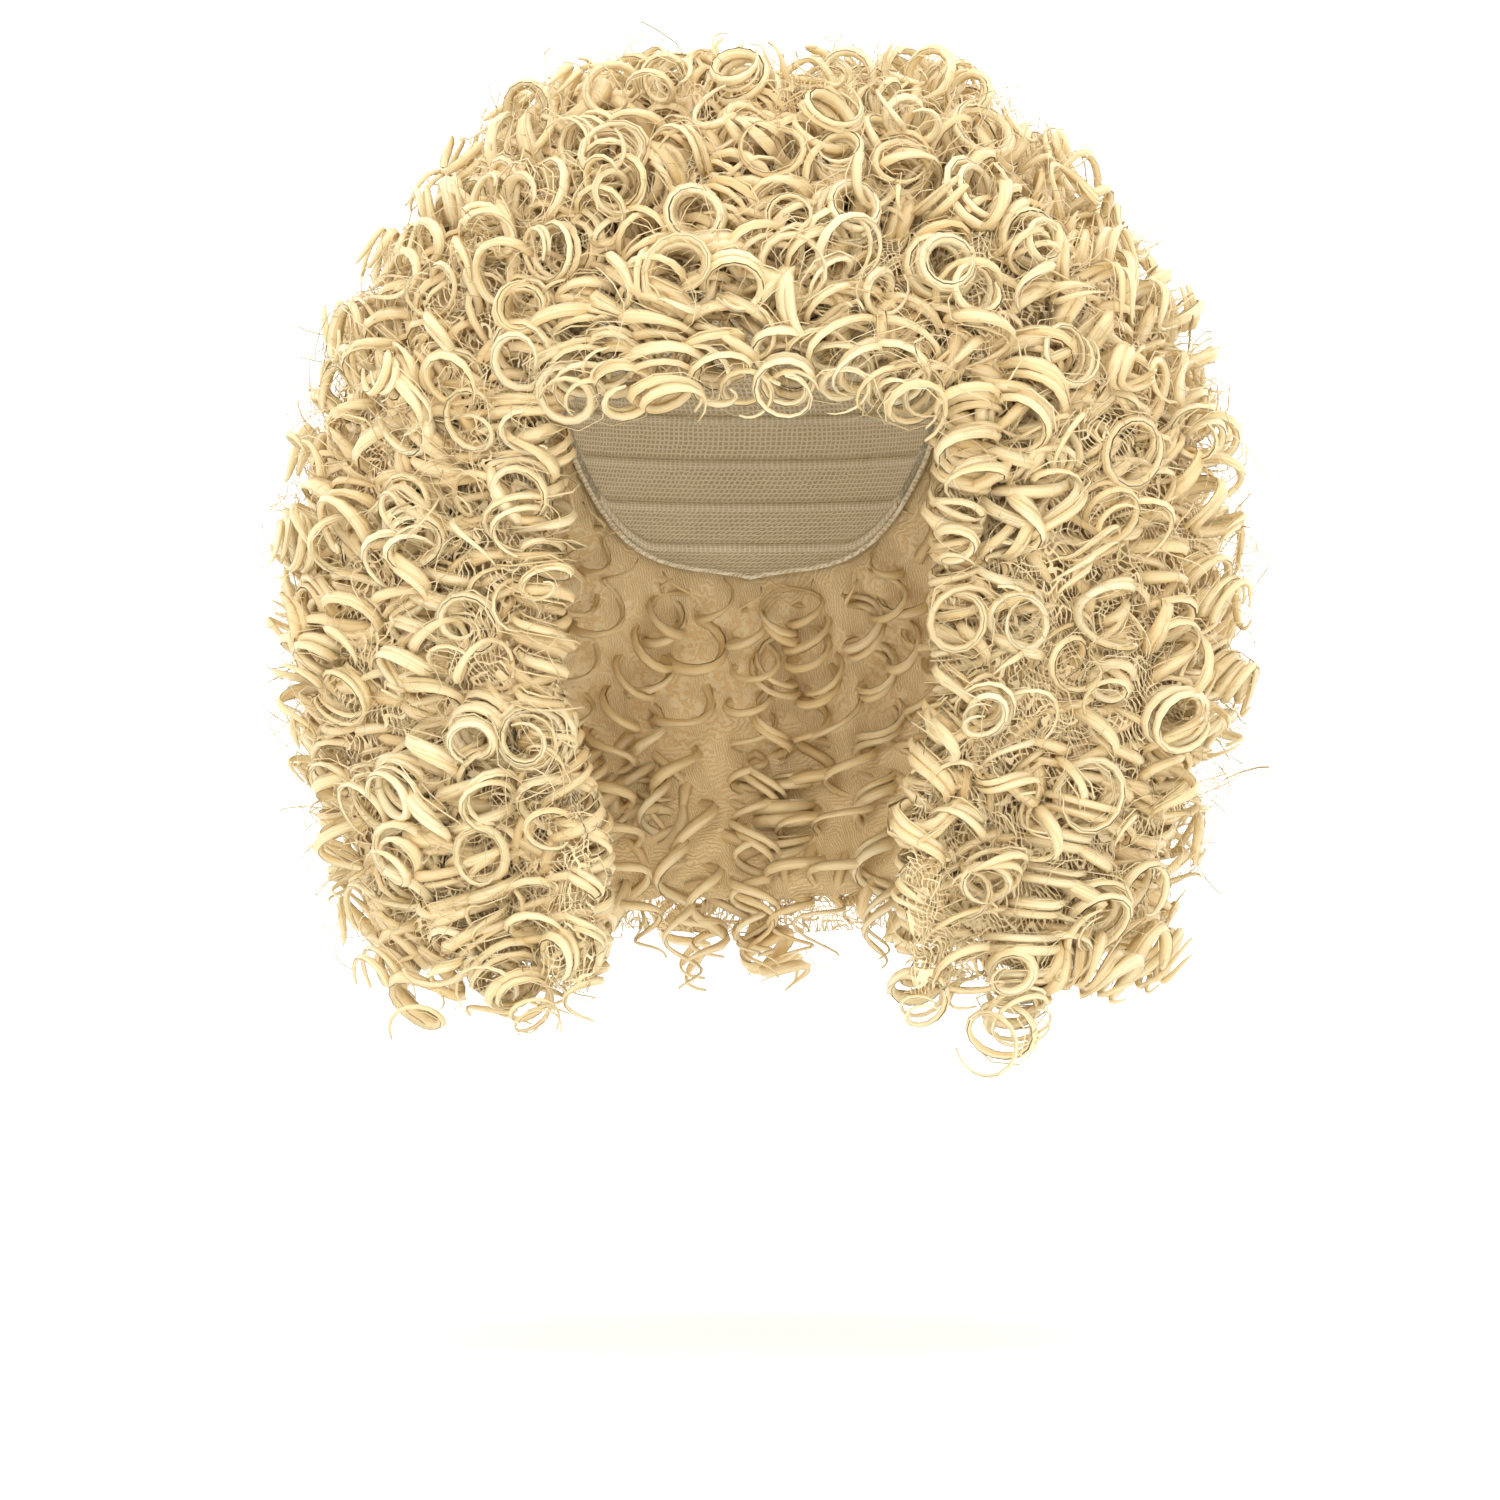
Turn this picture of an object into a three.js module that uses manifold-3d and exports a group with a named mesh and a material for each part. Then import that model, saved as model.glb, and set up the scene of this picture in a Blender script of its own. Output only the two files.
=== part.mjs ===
// A shoulder-length curly wig with a fringe: a stretch cap, and five sections of ringlets sewn to it.
// Each section is a wall of hair with corkscrew locks fused to its outside, and the head goes in from below.
// Millimetres, +Z up. The origin is the inside of the cap at the crown of the head.
// The face looks along -Y, and +X is the wearer's left.

import * as THREE from "three";
import { mergeVertices } from "three/addons/utils/BufferGeometryUtils.js";
import Module from "manifold-3d";

const wasm = await Module();
wasm.setup();
const { degToRad, radToDeg, lerp, clamp, smoothstep } = THREE.MathUtils;

// Head that the wig fits
const headHalfWidth = 76;
const headHalfDepth = 96;
const crownToWidest = 100; // from the crown of the head down to its widest level

// Cap, with drops measured down from the crown of the head
const capWall = 1.5;
const browRimDrop = 52;
const earTabDrop = 104;
const overEarDrop = 86;
const napeRimDrop = 158;

// Hair as a whole
const hairRise = 40; // top of the curls above the crown of the head
const hairDrop = 334; // tips of the longest curls below it
const hairHalfWidth = 188;
const hairFrontReach = 132;
const hairBackReach = 158;
const fringeDrop = 99;
const faceGapHalfWidth = 63; // from the middle of the face to the hair beside the cheeks
const throatGapHalfWidth = 49; // and to the hair beside the throat
const jawDrop = 205; // level where the gap begins to close in from the cheeks to the throat
const collarDrop = 250; // level where it has closed in
const curtainDepth = 52; // thickness of the hair that hangs free below the cap
const flareDrop = 70; // height over which it leaves the head

// Locks
const rodRadius = 9; // half the thickness of the twisted strand
const coilRadius = 7; // how far the strand winds about its own axis
const turnHeight = 48; // of one turn of a lock
const lockSpacing = 37; // from one lock to the next
const tipOverhang = 16; // free tip of a lock below the hair that it is fused to
const tipStagger = 7; // by which every other lock is shorter
const tipShare = 0.55; // thickness of the strand at its tip, as a share
const rootDrop = 25; // from the crown's seam to the roots of the locks at the sides and back
const fringeRootDrop = 35; // and to the roots of the fringe, which has no wall to hide them in
const emergeDrop = 30; // height over which a lock comes out of the wall

// Fits
const seamGap = 0.7; // between one section and the next, and between a section and the cap
const thinnestWall = 8; // hair between the head and the locks

// Facets
const columns = 24; // round every wall
const capRows = 5;
const seamRow = 2; // row of the cap where the crown's seam meets it
const crownRows = 4;
const hangingRows = 5;
const freeRows = 3; // from the cap's rim to the bottom of the wall
const lockSides = 4;
const stepsPerTurn = 4;
const turnStep = 0.37; // of a turn, by which each lock starts ahead of the last
const smallestDetail = 0.3;

const lockReach = rodRadius + coilRadius;
const wallInset = lockReach * 1.6; // depth of the hair wall below the outline, where locks stand proud of it
const rootInset = lockReach * 2.25; // its depth where the locks of the crown hang over it
const rootDepth = lockReach * 3; // depth of the root of a lock in the wall
const hairHeight = hairRise + hairDrop;
const capOutside = capWall + seamGap;

// Outline of the hair from the top of the head to the tips, a row for each level. Drop is a share of the
// hair's height, and the four reaches are shares of its half width, its front reach and its back reach.
const outline = [
  { drop: 0.025, left: 0.0, right: 0.0, front: 0.0, back: 0.0 },
  { drop: 0.004, left: 0.3, right: 0.28, front: 0.3, back: 0.32 },
  { drop: 0.05, left: 0.54, right: 0.49, front: 0.56, back: 0.56 },
  { drop: 0.14, left: 0.72, right: 0.66, front: 0.81, back: 0.76 },
  { drop: 0.255, left: 0.87, right: 0.81, front: 0.97, back: 0.89 },
  { drop: 0.375, left: 0.96, right: 0.9, front: 1.0, back: 0.96 },
  { drop: 0.508, left: 1.0, right: 0.95, front: 0.9, back: 1.0 },
  { drop: 0.642, left: 1.0, right: 0.95, front: 0.84, back: 1.0 },
  { drop: 0.762, left: 0.94, right: 0.89, front: 0.8, back: 0.96 },
  { drop: 0.87, left: 0.87, right: 0.83, front: 0.76, back: 0.9 },
  { drop: 1.0, left: 0.82, right: 0.78, front: 0.73, back: 0.84 },
].map((row, i, rows) => ({ ...row, fall: i / (rows.length - 1) }));
const outlineSquareness = 2.2; // of the outline seen from above: 2 is an ellipse

// Lower edge of the cap round the head. Azimuths, here and below, are in degrees from the face to the nape.
const capRim = [
  { azimuth: 0, drop: browRimDrop },
  { azimuth: 38, drop: browRimDrop * 1.1 },
  { azimuth: 60, drop: earTabDrop },
  { azimuth: 84, drop: overEarDrop },
  { azimuth: 112, drop: overEarDrop * 1.08 },
  { azimuth: 145, drop: napeRimDrop * 0.92 },
  { azimuth: 180, drop: napeRimDrop },
];

// Outer edge of the seam between the crown and the sections below it, as shares of the hair's height. It is
// higher over the face.
const crownSeam = [
  { azimuth: 0, drop: 0.155 },
  { azimuth: 35, drop: 0.175 },
  { azimuth: 80, drop: 0.27 },
  { azimuth: 180, drop: 0.285 },
];

// Level of the longest tips round the head, as shares of the hair's drop
const tipLevels = [
  { azimuth: 0, drop: 1.0 },
  { azimuth: 36, drop: 1.0 },
  { azimuth: 58, drop: 0.97 },
  { azimuth: 88, drop: 0.9 },
  { azimuth: 125, drop: 0.93 },
  { azimuth: 180, drop: 0.96 },
];
const sideSeamAzimuth = 122; // between the hair at the side and at the back
const templeAzimuth = 45; // where the locks round the crown are counted

// Interpolates one column of a table whose rows are in the order of another, with no kink at the rows
function columnAt(table, key, column, value) {
  const last = table.length - 1;
  let i = 0;
  while (i < last - 1 && value > table[i + 1][key]) i++;
  const slopeAt = (j) => {
    const before = table[Math.max(j - 1, 0)];
    const after = table[Math.min(j + 1, last)];
    return (after[column] - before[column]) / (after[key] - before[key]);
  };
  const span = table[i + 1][key] - table[i][key];
  const t = clamp((value - table[i][key]) / span, 0, 1);
  const bend = slopeAt(i) * (1 - t) - slopeAt(i + 1) * t;
  return lerp(table[i][column], table[i + 1][column], t * t * (3 - 2 * t)) + span * t * (1 - t) * bend;
}

// The highest value between two others for which a test still holds
function lastWhere(low, high, holds) {
  for (let i = 0; i < 24; i++) {
    const middle = (low + high) / 2;
    if (holds(middle)) low = middle;
    else high = middle;
  }
  return low;
}

// Distance from the axis to an oval with these half axes, at an azimuth
function ovalReach(azimuth, side, depth, squareness = 2) {
  const angle = degToRad(azimuth);
  const across = Math.abs(Math.sin(angle)) / side;
  const along = Math.abs(Math.cos(angle)) / depth;
  return 1 / Math.pow(across ** squareness + along ** squareness, 1 / squareness);
}

// A point at an azimuth, a distance from the upright axis and a level
function pointAt(azimuth, reach, level) {
  const angle = degToRad(azimuth);
  return new THREE.Vector3(reach * Math.sin(angle), -reach * Math.cos(angle), level);
}

// The outline at a fall, which is 0 at the top of the head and 1 at the tips
const levelAt = (fall) => hairRise - hairHeight * columnAt(outline, "fall", "drop", fall);

function outlineReach(azimuth, fall) {
  if (fall <= 0) return 0;
  const share = (column) => columnAt(outline, "fall", column, fall);
  const side = hairHalfWidth * share(azimuth >= 0 ? "left" : "right");
  const depth = Math.abs(azimuth) < 90 ? hairFrontReach * share("front") : hairBackReach * share("back");
  return ovalReach(azimuth, side, depth, outlineSquareness);
}

// The fall at which the outline passes a level, below its highest row
const fallAtLevel = (level) => lastWhere(outline[1].fall, 1, (fall) => levelAt(fall) > level);

// A point of the hair at a depth below its outline, square to the outline's slope
function hairPoint(azimuth, fall, depth) {
  if (fall <= 0) return pointAt(azimuth, 0, levelAt(0) - depth);
  const step = 0.01;
  const above = Math.max(fall - step, 0);
  const below = Math.min(fall + step, 1);
  const outward = outlineReach(azimuth, below) - outlineReach(azimuth, above);
  const slope = new THREE.Vector2(outward, levelAt(below) - levelAt(above)).normalize();
  return pointAt(azimuth, outlineReach(azimuth, fall) + depth * slope.y, levelAt(fall) - depth * slope.x);
}

const reachAtLevel = (azimuth, level) => outlineReach(azimuth, fallAtLevel(level));
const rimLevel = (azimuth) => -columnAt(capRim, "azimuth", "drop", Math.abs(azimuth));
const tipLevel = (azimuth) => -hairDrop * columnAt(tipLevels, "azimuth", "drop", Math.abs(azimuth));
const seamLevel = (azimuth) =>
  hairRise - hairHeight * columnAt(crownSeam, "azimuth", "drop", Math.abs(azimuth));

// Distance from the axis to a head that is larger by a margin, at a level
function headReach(azimuth, level, margin) {
  const rise = (level + crownToWidest) / (crownToWidest + margin);
  const share = Math.sqrt(Math.max(1 - rise * rise, 0));
  return share * ovalReach(azimuth, headHalfWidth + margin, headHalfDepth + margin);
}

// Distance from the axis to the inside of the hair, which hugs the head and then flares away from it
function hollowReach(azimuth, level) {
  const lowestHug = Math.min(rimLevel(azimuth), -crownToWidest);
  const head = headReach(azimuth, Math.max(level, lowestHug), capOutside);
  const curtain = reachAtLevel(azimuth, level) - curtainDepth;
  return lerp(head, Math.max(head, curtain), smoothstep(rimLevel(azimuth) - level, 0, flareDrop));
}

// Distance from the axis to the wall's outside, which stands back where the crown's locks hang over it
function wallReach(azimuth, level) {
  const belowSeam = seamLevel(azimuth) - level;
  const inset = lerp(rootInset, wallInset, smoothstep(belowSeam, tipOverhang, 3 * tipOverhang));
  return Math.max(reachAtLevel(azimuth, level) - inset, hollowReach(azimuth, level) + thinnestWall);
}

// A solid from an indexed or plain geometry, turned so that its faces point out
function solidFrom(geometry) {
  geometry.deleteAttribute("normal");
  geometry.deleteAttribute("uv");
  const merged = mergeVertices(geometry, 1e-3);
  const corners = merged.index.array;
  const faces = [];
  for (let i = 0; i < corners.length; i += 3) {
    const [a, b, c] = corners.slice(i, i + 3);
    if (a !== b && b !== c && a !== c) faces.push([a, b, c]);
  }
  const vertProperties = merged.attributes.position.array;
  const build = (triVerts) => new wasm.Manifold(new wasm.Mesh({ numProp: 3, vertProperties, triVerts }));
  const solid = build(new Uint32Array(faces.flat()));
  return solid.volume() < 0 ? build(new Uint32Array(faces.flatMap(([a, b, c]) => [a, c, b]))) : solid;
}

const solidOf = (points, triangles) =>
  solidFrom(new THREE.BufferGeometry().setFromPoints(points).setIndex(triangles));

// A closed wall through rings of points, which run down its outside and back up its inside. Every quad is
// split from its upper corner to the lower corner after it, so that one wall nests in another.
function wallThrough(rings) {
  const triangles = [];
  rings.forEach((ring, row) => {
    const nextRow = (row + 1) % rings.length;
    const goesDown = ring[0].z > rings[nextRow][0].z;
    for (let column = 0; column < columns; column++) {
      const after = (column + 1) % columns;
      const a = row * columns + column;
      const b = row * columns + after;
      const c = nextRow * columns + after;
      const d = nextRow * columns + column;
      if (goesDown) triangles.push(a, b, c, a, c, d);
      else triangles.push(a, b, d, b, c, d);
    }
  });
  return solidOf(rings.flat(), triangles);
}

// Rings of a surface, which is a function of azimuth and row, from one row to another
function ringsOf(surface, firstRow, lastRow) {
  const step = Math.sign(lastRow - firstRow);
  const azimuths = Array.from({ length: columns }, (_, column) => (360 * column) / columns - 180);
  const ringAt = (row) => azimuths.map((azimuth) => surface(azimuth, row));
  return Array.from({ length: Math.abs(lastRow - firstRow) + 1 }, (_, i) => ringAt(firstRow + i * step));
}

// Moves a point of a lock's route out from the middle of the head until the lock clears the cap
function clearOfCap(point) {
  const margin = capOutside + lockReach + seamGap;
  const rise = Math.max(point.z + crownToWidest, 0);
  const across = point.x / (headHalfWidth + margin);
  const along = point.y / (headHalfDepth + margin);
  const push = 1 / Math.min(Math.hypot(across, along, rise / (crownToWidest + margin)), 1);
  return new THREE.Vector3(point.x * push, point.y * push, point.z + rise * (push - 1));
}

// A corkscrew lock: a strand that winds about a route, which is a function of the share from root to tip
function corkscrew(route, startTurn, hand) {
  const shares = [0, 0.1, 0.2, 0.4, 0.7, 1];
  const spine = new THREE.CatmullRomCurve3(shares.map((share) => clearOfCap(route(share))));
  const length = spine.getLength();
  const steps = Math.max(3, Math.round((length * stepsPerTurn) / turnHeight));
  const points = [];
  for (let step = 0; step <= steps; step++) {
    const share = step / steps;
    const along = spine.getTangentAt(share);
    const centre = spine.getPointAt(share);
    const fromHead = centre.clone().setZ(Math.max(centre.z + crownToWidest, 0));
    const sideways = new THREE.Vector3().crossVectors(fromHead, along).normalize();
    const outward = new THREE.Vector3().crossVectors(along, sideways);
    const turn = 2 * Math.PI * hand * (startTurn + (share * length) / turnHeight);
    const radius = rodRadius * lerp(1, tipShare, share ** 3);
    centre.addScaledVector(sideways, coilRadius * Math.cos(turn));
    centre.addScaledVector(outward, coilRadius * Math.sin(turn));
    for (let side = 0; side < lockSides; side++) {
      const angle = (2 * Math.PI * side) / lockSides;
      const point = centre.clone().addScaledVector(sideways, radius * Math.cos(angle));
      points.push(point.addScaledVector(outward, radius * Math.sin(angle)));
    }
  }
  const triangles = [];
  for (let a = 0; a < steps * lockSides; a++) {
    const b = (a + 1) % lockSides === 0 ? a + 1 - lockSides : a + 1;
    triangles.push(a, b, b + lockSides, a, b + lockSides, a + lockSides);
  }
  const tip = steps * lockSides;
  for (let side = 1; side < lockSides - 1; side++)
    triangles.push(0, side + 1, side, tip, tip + side, tip + side + 1);
  return solidOf(points, triangles);
}

// The surface of a head larger by a margin, from its crown at row 0 to the cap's rim
const headSurface = (margin) => (azimuth, row) => {
  const height = crownToWidest + margin;
  const rimAngle = Math.acos((rimLevel(azimuth) + crownToWidest) / height);
  const level = height * Math.cos((rimAngle * row) / capRows) - crownToWidest;
  return pointAt(azimuth, headReach(azimuth, level, margin), level);
};

const makeCap = () =>
  wallThrough([...ringsOf(headSurface(capWall), 0, capRows), ...ringsOf(headSurface(0), capRows, 0)]);

const fuse = (wall, locks) => wasm.Manifold.union([wall, ...locks]).simplify(smallestDetail);

// The crown: a dome of hair over the cap, with a ring of locks round its top and another over the seam
function makeCrown() {
  const outside = (azimuth, row) => {
    const seam = seamLevel(azimuth);
    if (row === crownRows) return pointAt(azimuth, wallReach(azimuth, seam), seam);
    return hairPoint(azimuth, (fallAtLevel(seam) * row) / crownRows, wallInset);
  };
  const inside = headSurface(capOutside);
  const wall = wallThrough([...ringsOf(outside, 0, crownRows), ...ringsOf(inside, seamRow, 0)]);
  const locks = [];
  const ring = (start, end) => {
    const middle = (start(templeAzimuth) + end(templeAzimuth)) / 2;
    const count = Math.round((2 * Math.PI * outlineReach(templeAzimuth, middle)) / lockSpacing);
    for (let i = 0; i < count; i++) {
      const azimuth = (360 * i) / count - 180;
      const route = (share) => hairPoint(azimuth, lerp(start(azimuth), end(azimuth), share), lockReach);
      locks.push(corkscrew(route, i * turnStep, 1));
    }
  };
  const ringMeeting = 0.17; // fall at which the two rings meet
  const tipFall = (azimuth) => {
    const tip = seamLevel(azimuth) - tipOverhang;
    return lastWhere(ringMeeting, 1, (fall) => hairPoint(azimuth, fall, lockReach).z > tip);
  };
  ring(() => 0.03, () => ringMeeting);
  ring(() => ringMeeting, tipFall);
  return fuse(wall, locks);
}

// The hair below the crown's seam, before it is parted into sections
function makeHangingWall() {
  const bottom = (azimuth) => tipLevel(azimuth) + tipOverhang;
  const outside = (azimuth, row) => {
    const level = lerp(seamLevel(azimuth) - seamGap, bottom(azimuth), row / hangingRows);
    return pointAt(azimuth, wallReach(azimuth, level), level);
  };
  const free = (azimuth, row) => {
    const level = lerp(rimLevel(azimuth), bottom(azimuth), row / freeRows);
    return pointAt(azimuth, hollowReach(azimuth, level), level);
  };
  const held = (azimuth, row) => {
    const point = headSurface(capOutside)(azimuth, row);
    if (row > seamRow) return point;
    const level = point.z - seamGap;
    return pointAt(azimuth, headReach(azimuth, level, capOutside), level);
  };
  return wallThrough([
    ...ringsOf(outside, 0, hangingRows),
    ...ringsOf(free, freeRows, 1),
    ...ringsOf(held, capRows, seamRow),
  ]);
}

// The opening for the face and throat, wider by a margin on each side, down to a level
function faceGap(margin, bottomDrop) {
  const corners = [
    [faceGapHalfWidth, -hairRise],
    [faceGapHalfWidth, Math.min(jawDrop, bottomDrop)],
  ];
  if (bottomDrop > collarDrop) {
    corners.push([throatGapHalfWidth, collarDrop]);
    corners.push([throatGapHalfWidth, bottomDrop]);
  }
  const left = corners.map(([side, drop]) => new THREE.Vector2(side + margin, -drop));
  const right = corners.map(([side, drop]) => new THREE.Vector2(-side - margin, -drop)).reverse();
  const shape = new THREE.Shape([...left, ...right]);
  const depth = hairFrontReach + lockReach;
  const geometry = new THREE.ExtrudeGeometry(shape, { depth, bevelEnabled: false });
  return solidFrom(geometry.rotateX(Math.PI / 2));
}

function gapHalfWidth(level) {
  const closed = clamp((-level - jawDrop) / (collarDrop - jawDrop), 0, 1);
  return lerp(faceGapHalfWidth, throatGapHalfWidth, closed);
}

const wrapped = (azimuth) => (azimuth > 180 ? azimuth - 360 : azimuth);

// Locks that hang side by side down to the tips. Their edges are azimuths that depend on level and depth,
// and drop is how far below the crown's seam their roots are.
function hangingLocks(firstEdge, lastEdge, drop, tipAt) {
  const spacingLevel = -fringeDrop;
  const azimuthOf = (share, level, depth) =>
    wrapped(lerp(firstEdge(level, depth), lastEdge(level, depth), share));
  const across = Math.abs(lastEdge(spacingLevel, lockReach) - firstEdge(spacingLevel, lockReach));
  const reach = reachAtLevel(azimuthOf(0.5, spacingLevel, lockReach), spacingLevel);
  const spaces = Math.max(1, Math.round((degToRad(across) * reach) / lockSpacing));
  return Array.from({ length: spaces + 1 }, (_, i) => {
    const nominal = azimuthOf(i / spaces, spacingLevel, lockReach);
    const root = seamLevel(nominal) - drop;
    const tip = tipAt(nominal) + (i % 2) * tipStagger;
    const route = (share) => {
      const level = lerp(root, tip, share);
      const depth = lerp(rootDepth, lockReach, smoothstep(root - level, 0, emergeDrop));
      const azimuth = azimuthOf(i / spaces, level, depth);
      return pointAt(azimuth, reachAtLevel(nominal, level) - depth, level);
    };
    return corkscrew(route, i * turnStep, Math.sign(nominal) || 1);
  });
}

// The azimuth, to one side of the face, where a point below the outline is this far from the middle
function azimuthAtSide(hand, side, level, depth) {
  const sideAt = (azimuth) => (reachAtLevel(hand * azimuth, level) - depth) * Math.sin(degToRad(azimuth));
  return hand * lastWhere(0, 90, (azimuth) => sideAt(azimuth) < side);
}

// The azimuth of a lock that hangs beside the seam between side and back: beyond is 1 at the back and -1 at
// the side
function azimuthBySeam(beyond, level, depth) {
  const reach = reachAtLevel(sideSeamAzimuth, level) - depth;
  return sideSeamAzimuth + beyond * radToDeg(Math.asin((lockReach + seamGap) / reach));
}

// Cuts a solid at the upright plane through the axis at an azimuth, and keeps the side of the higher or the
// lower azimuths
function cutAt(solid, azimuth, keepHigher) {
  const angle = degToRad(azimuth);
  const normal = [Math.cos(angle), Math.sin(angle), 0];
  return solid.trimByPlane(keepHigher ? normal : normal.map((value) => -value), seamGap / 2);
}

const hangingWall = makeHangingWall();

// The hair at one side, from beside the face to behind the ear: hand is 1 on the wearer's left and -1 on
// the right
function makeSide(hand) {
  const locks = hangingLocks(
    (level, depth) => azimuthAtSide(hand, gapHalfWidth(level) + lockReach + seamGap, level, depth),
    (level, depth) => hand * azimuthBySeam(-1, level, depth),
    rootDrop,
    tipLevel,
  );
  const front = fuse(hangingWall.subtract(faceGap(seamGap / 2, hairHeight)), locks);
  return cutAt(front.trimByPlane([hand, 0, 0], 0), hand * sideSeamAzimuth, hand < 0);
}

function makeBack() {
  const locks = hangingLocks(
    (level, depth) => azimuthBySeam(1, level, depth),
    (level, depth) => 360 - azimuthBySeam(1, level, depth),
    rootDrop,
    tipLevel,
  );
  return cutAt(cutAt(fuse(hangingWall, locks), sideSeamAzimuth, true), -sideSeamAzimuth, false);
}

function makeFringe() {
  const wall = hangingWall.intersect(faceGap(-seamGap / 2, fringeDrop - tipOverhang));
  const edge = (hand) => (level, depth) =>
    azimuthAtSide(hand, faceGapHalfWidth - lockReach - seamGap, level, depth);
  return fuse(wall, hangingLocks(edge(-1), edge(1), fringeRootDrop, () => -fringeDrop));
}

const wig = new THREE.Group();

// Adds a solid to the wig as a named mesh with its own material
function place(name, solid, color, roughness) {
  const { vertProperties, triVerts } = solid.getMesh();
  const geometry = new THREE.BufferGeometry();
  geometry.setAttribute("position", new THREE.BufferAttribute(vertProperties, 3));
  geometry.setIndex(new THREE.BufferAttribute(triVerts, 1));
  geometry.computeVertexNormals();
  const mesh = new THREE.Mesh(geometry, new THREE.MeshStandardMaterial({ color, roughness, metalness: 0 }));
  mesh.name = name;
  wig.add(mesh);
}

place("cap", makeCap(), 0xd8c6a0, 0.9);
place("crown_curls", makeCrown(), 0xe9dab0, 0.45);
place("fringe_curls", makeFringe(), 0xeee0ba, 0.45);
place("left_curls", makeSide(1), 0xe4d09b, 0.45);
place("right_curls", makeSide(-1), 0xe4d09b, 0.45);
place("back_curls", makeBack(), 0xdcc791, 0.45);

export default wig;
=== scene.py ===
# A blonde afro wig of ringlets on a stretch cap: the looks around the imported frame
# Lengths in the tables are millimetres. Azimuths are degrees from the face, positive on the wearer's left.

import bmesh
import bpy
import numpy as np
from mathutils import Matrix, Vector


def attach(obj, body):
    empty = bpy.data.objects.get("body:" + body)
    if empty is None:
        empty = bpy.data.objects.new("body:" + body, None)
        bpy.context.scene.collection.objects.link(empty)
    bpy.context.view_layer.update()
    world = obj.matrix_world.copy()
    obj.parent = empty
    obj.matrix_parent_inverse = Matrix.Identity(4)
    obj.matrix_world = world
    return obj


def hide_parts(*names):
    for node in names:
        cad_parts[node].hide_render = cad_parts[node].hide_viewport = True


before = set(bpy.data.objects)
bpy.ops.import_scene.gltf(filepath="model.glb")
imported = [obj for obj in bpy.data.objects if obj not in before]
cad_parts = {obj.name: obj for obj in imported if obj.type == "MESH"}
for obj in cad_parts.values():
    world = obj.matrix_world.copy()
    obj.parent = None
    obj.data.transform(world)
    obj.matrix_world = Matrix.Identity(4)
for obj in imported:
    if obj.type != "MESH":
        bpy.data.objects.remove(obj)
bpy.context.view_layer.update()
mm = 0.001
tau = 2 * np.pi
scene = bpy.context.scene
print("frame loaded")

# Camera, at the photograph's height and angle
photoView = {
    "imagePixels": 1500,
    "pixelsPerMm": 2.72,  # at the middle of the head
    "crownRow": 145,  # pixel row that the crown of the head is on
    "distance": 2100,
    "sensor": 36,
}
seenHeight = photoView["imagePixels"] / photoView["pixelsPerMm"]
eyeLevel = (photoView["crownRow"] - photoView["imagePixels"] / 2) / photoView["pixelsPerMm"]
cameraData = bpy.data.cameras.new("studio_camera")
cameraData.sensor_width = photoView["sensor"]
cameraData.lens = photoView["sensor"] * photoView["distance"] / seenHeight
camera = bpy.data.objects.new("studio_camera", cameraData)
scene.collection.objects.link(camera)
camera.location = (0, -photoView["distance"] * mm, eyeLevel * mm)
camera.rotation_euler = (np.radians(90), 0, 0)
scene.camera = camera
scene.view_settings.view_transform = "Standard"


def linearColour(hexColour):
    channels = np.array([int(hexColour[i : i + 2], 16) for i in (1, 3, 5)]) / 255
    bright = ((channels + 0.055) / 1.055) ** 2.4
    return (*np.where(channels > 0.04045, bright, channels / 12.92), 1)


def addNode(tree, kind, inputs=None, **settings):
    made = tree.nodes.new(kind)
    for key, value in settings.items():
        setattr(made, key, value)
    for socket, value in (inputs or {}).items():
        if isinstance(value, bpy.types.NodeSocket):
            tree.links.new(value, made.inputs[socket])
        else:
            made.inputs[socket].default_value = value
    return made


def newMaterial(name):
    material = bpy.data.materials.new(name)
    material.use_nodes = True
    material.node_tree.nodes.clear()
    return material, material.node_tree


# Outline of the hair, as the frame has it: a row for each level, with its reaches as shares of these sizes
hairShape = {
    "rise": 40,  # top of the curls above the crown of the head
    "drop": 334,  # longest tips below it
    "halfWidth": 188,
    "frontReach": 132,
    "backReach": 158,
    "squareness": 2.2,
    "fringeDrop": 99,
    "faceGap": 63,  # from the middle of the face to the hair beside it
    "throatGap": 49,
    "jawDrop": 205,
    "collarDrop": 250,
    "flareDrop": 70,
    "openingMargin": 8,  # kept clear of tips round the face opening
    "seamOverhang": 12,  # of the tips of crown curls below the crown seam
    "fringeSlack": 8,  # of fringe tips below the fringe
}
outline = np.array(
    [
        # drop, left, right, front, back
        (0.025, 0.0, 0.0, 0.0, 0.0),
        (0.004, 0.3, 0.28, 0.3, 0.32),
        (0.05, 0.54, 0.49, 0.56, 0.56),
        (0.14, 0.72, 0.66, 0.81, 0.76),
        (0.255, 0.87, 0.81, 0.97, 0.89),
        (0.375, 0.96, 0.9, 1.0, 0.96),
        (0.508, 1.0, 0.95, 0.9, 1.0),
        (0.642, 1.0, 0.95, 0.84, 1.0),
        (0.762, 0.94, 0.89, 0.8, 0.96),
        (0.87, 0.87, 0.83, 0.76, 0.9),
        (1.0, 0.82, 0.78, 0.73, 0.84),
    ]
)
headShape = {"halfWidth": 76, "halfDepth": 96, "crownToWidest": 100, "capWall": 1.5}
capRim = np.array([(0, 52), (38, 57.2), (60, 104), (84, 86), (112, 92.9), (145, 145.4), (180, 158)])
crownSeam = np.array([(0, 0.155), (35, 0.175), (80, 0.27), (180, 0.285)])  # shares of the hair's height
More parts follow.
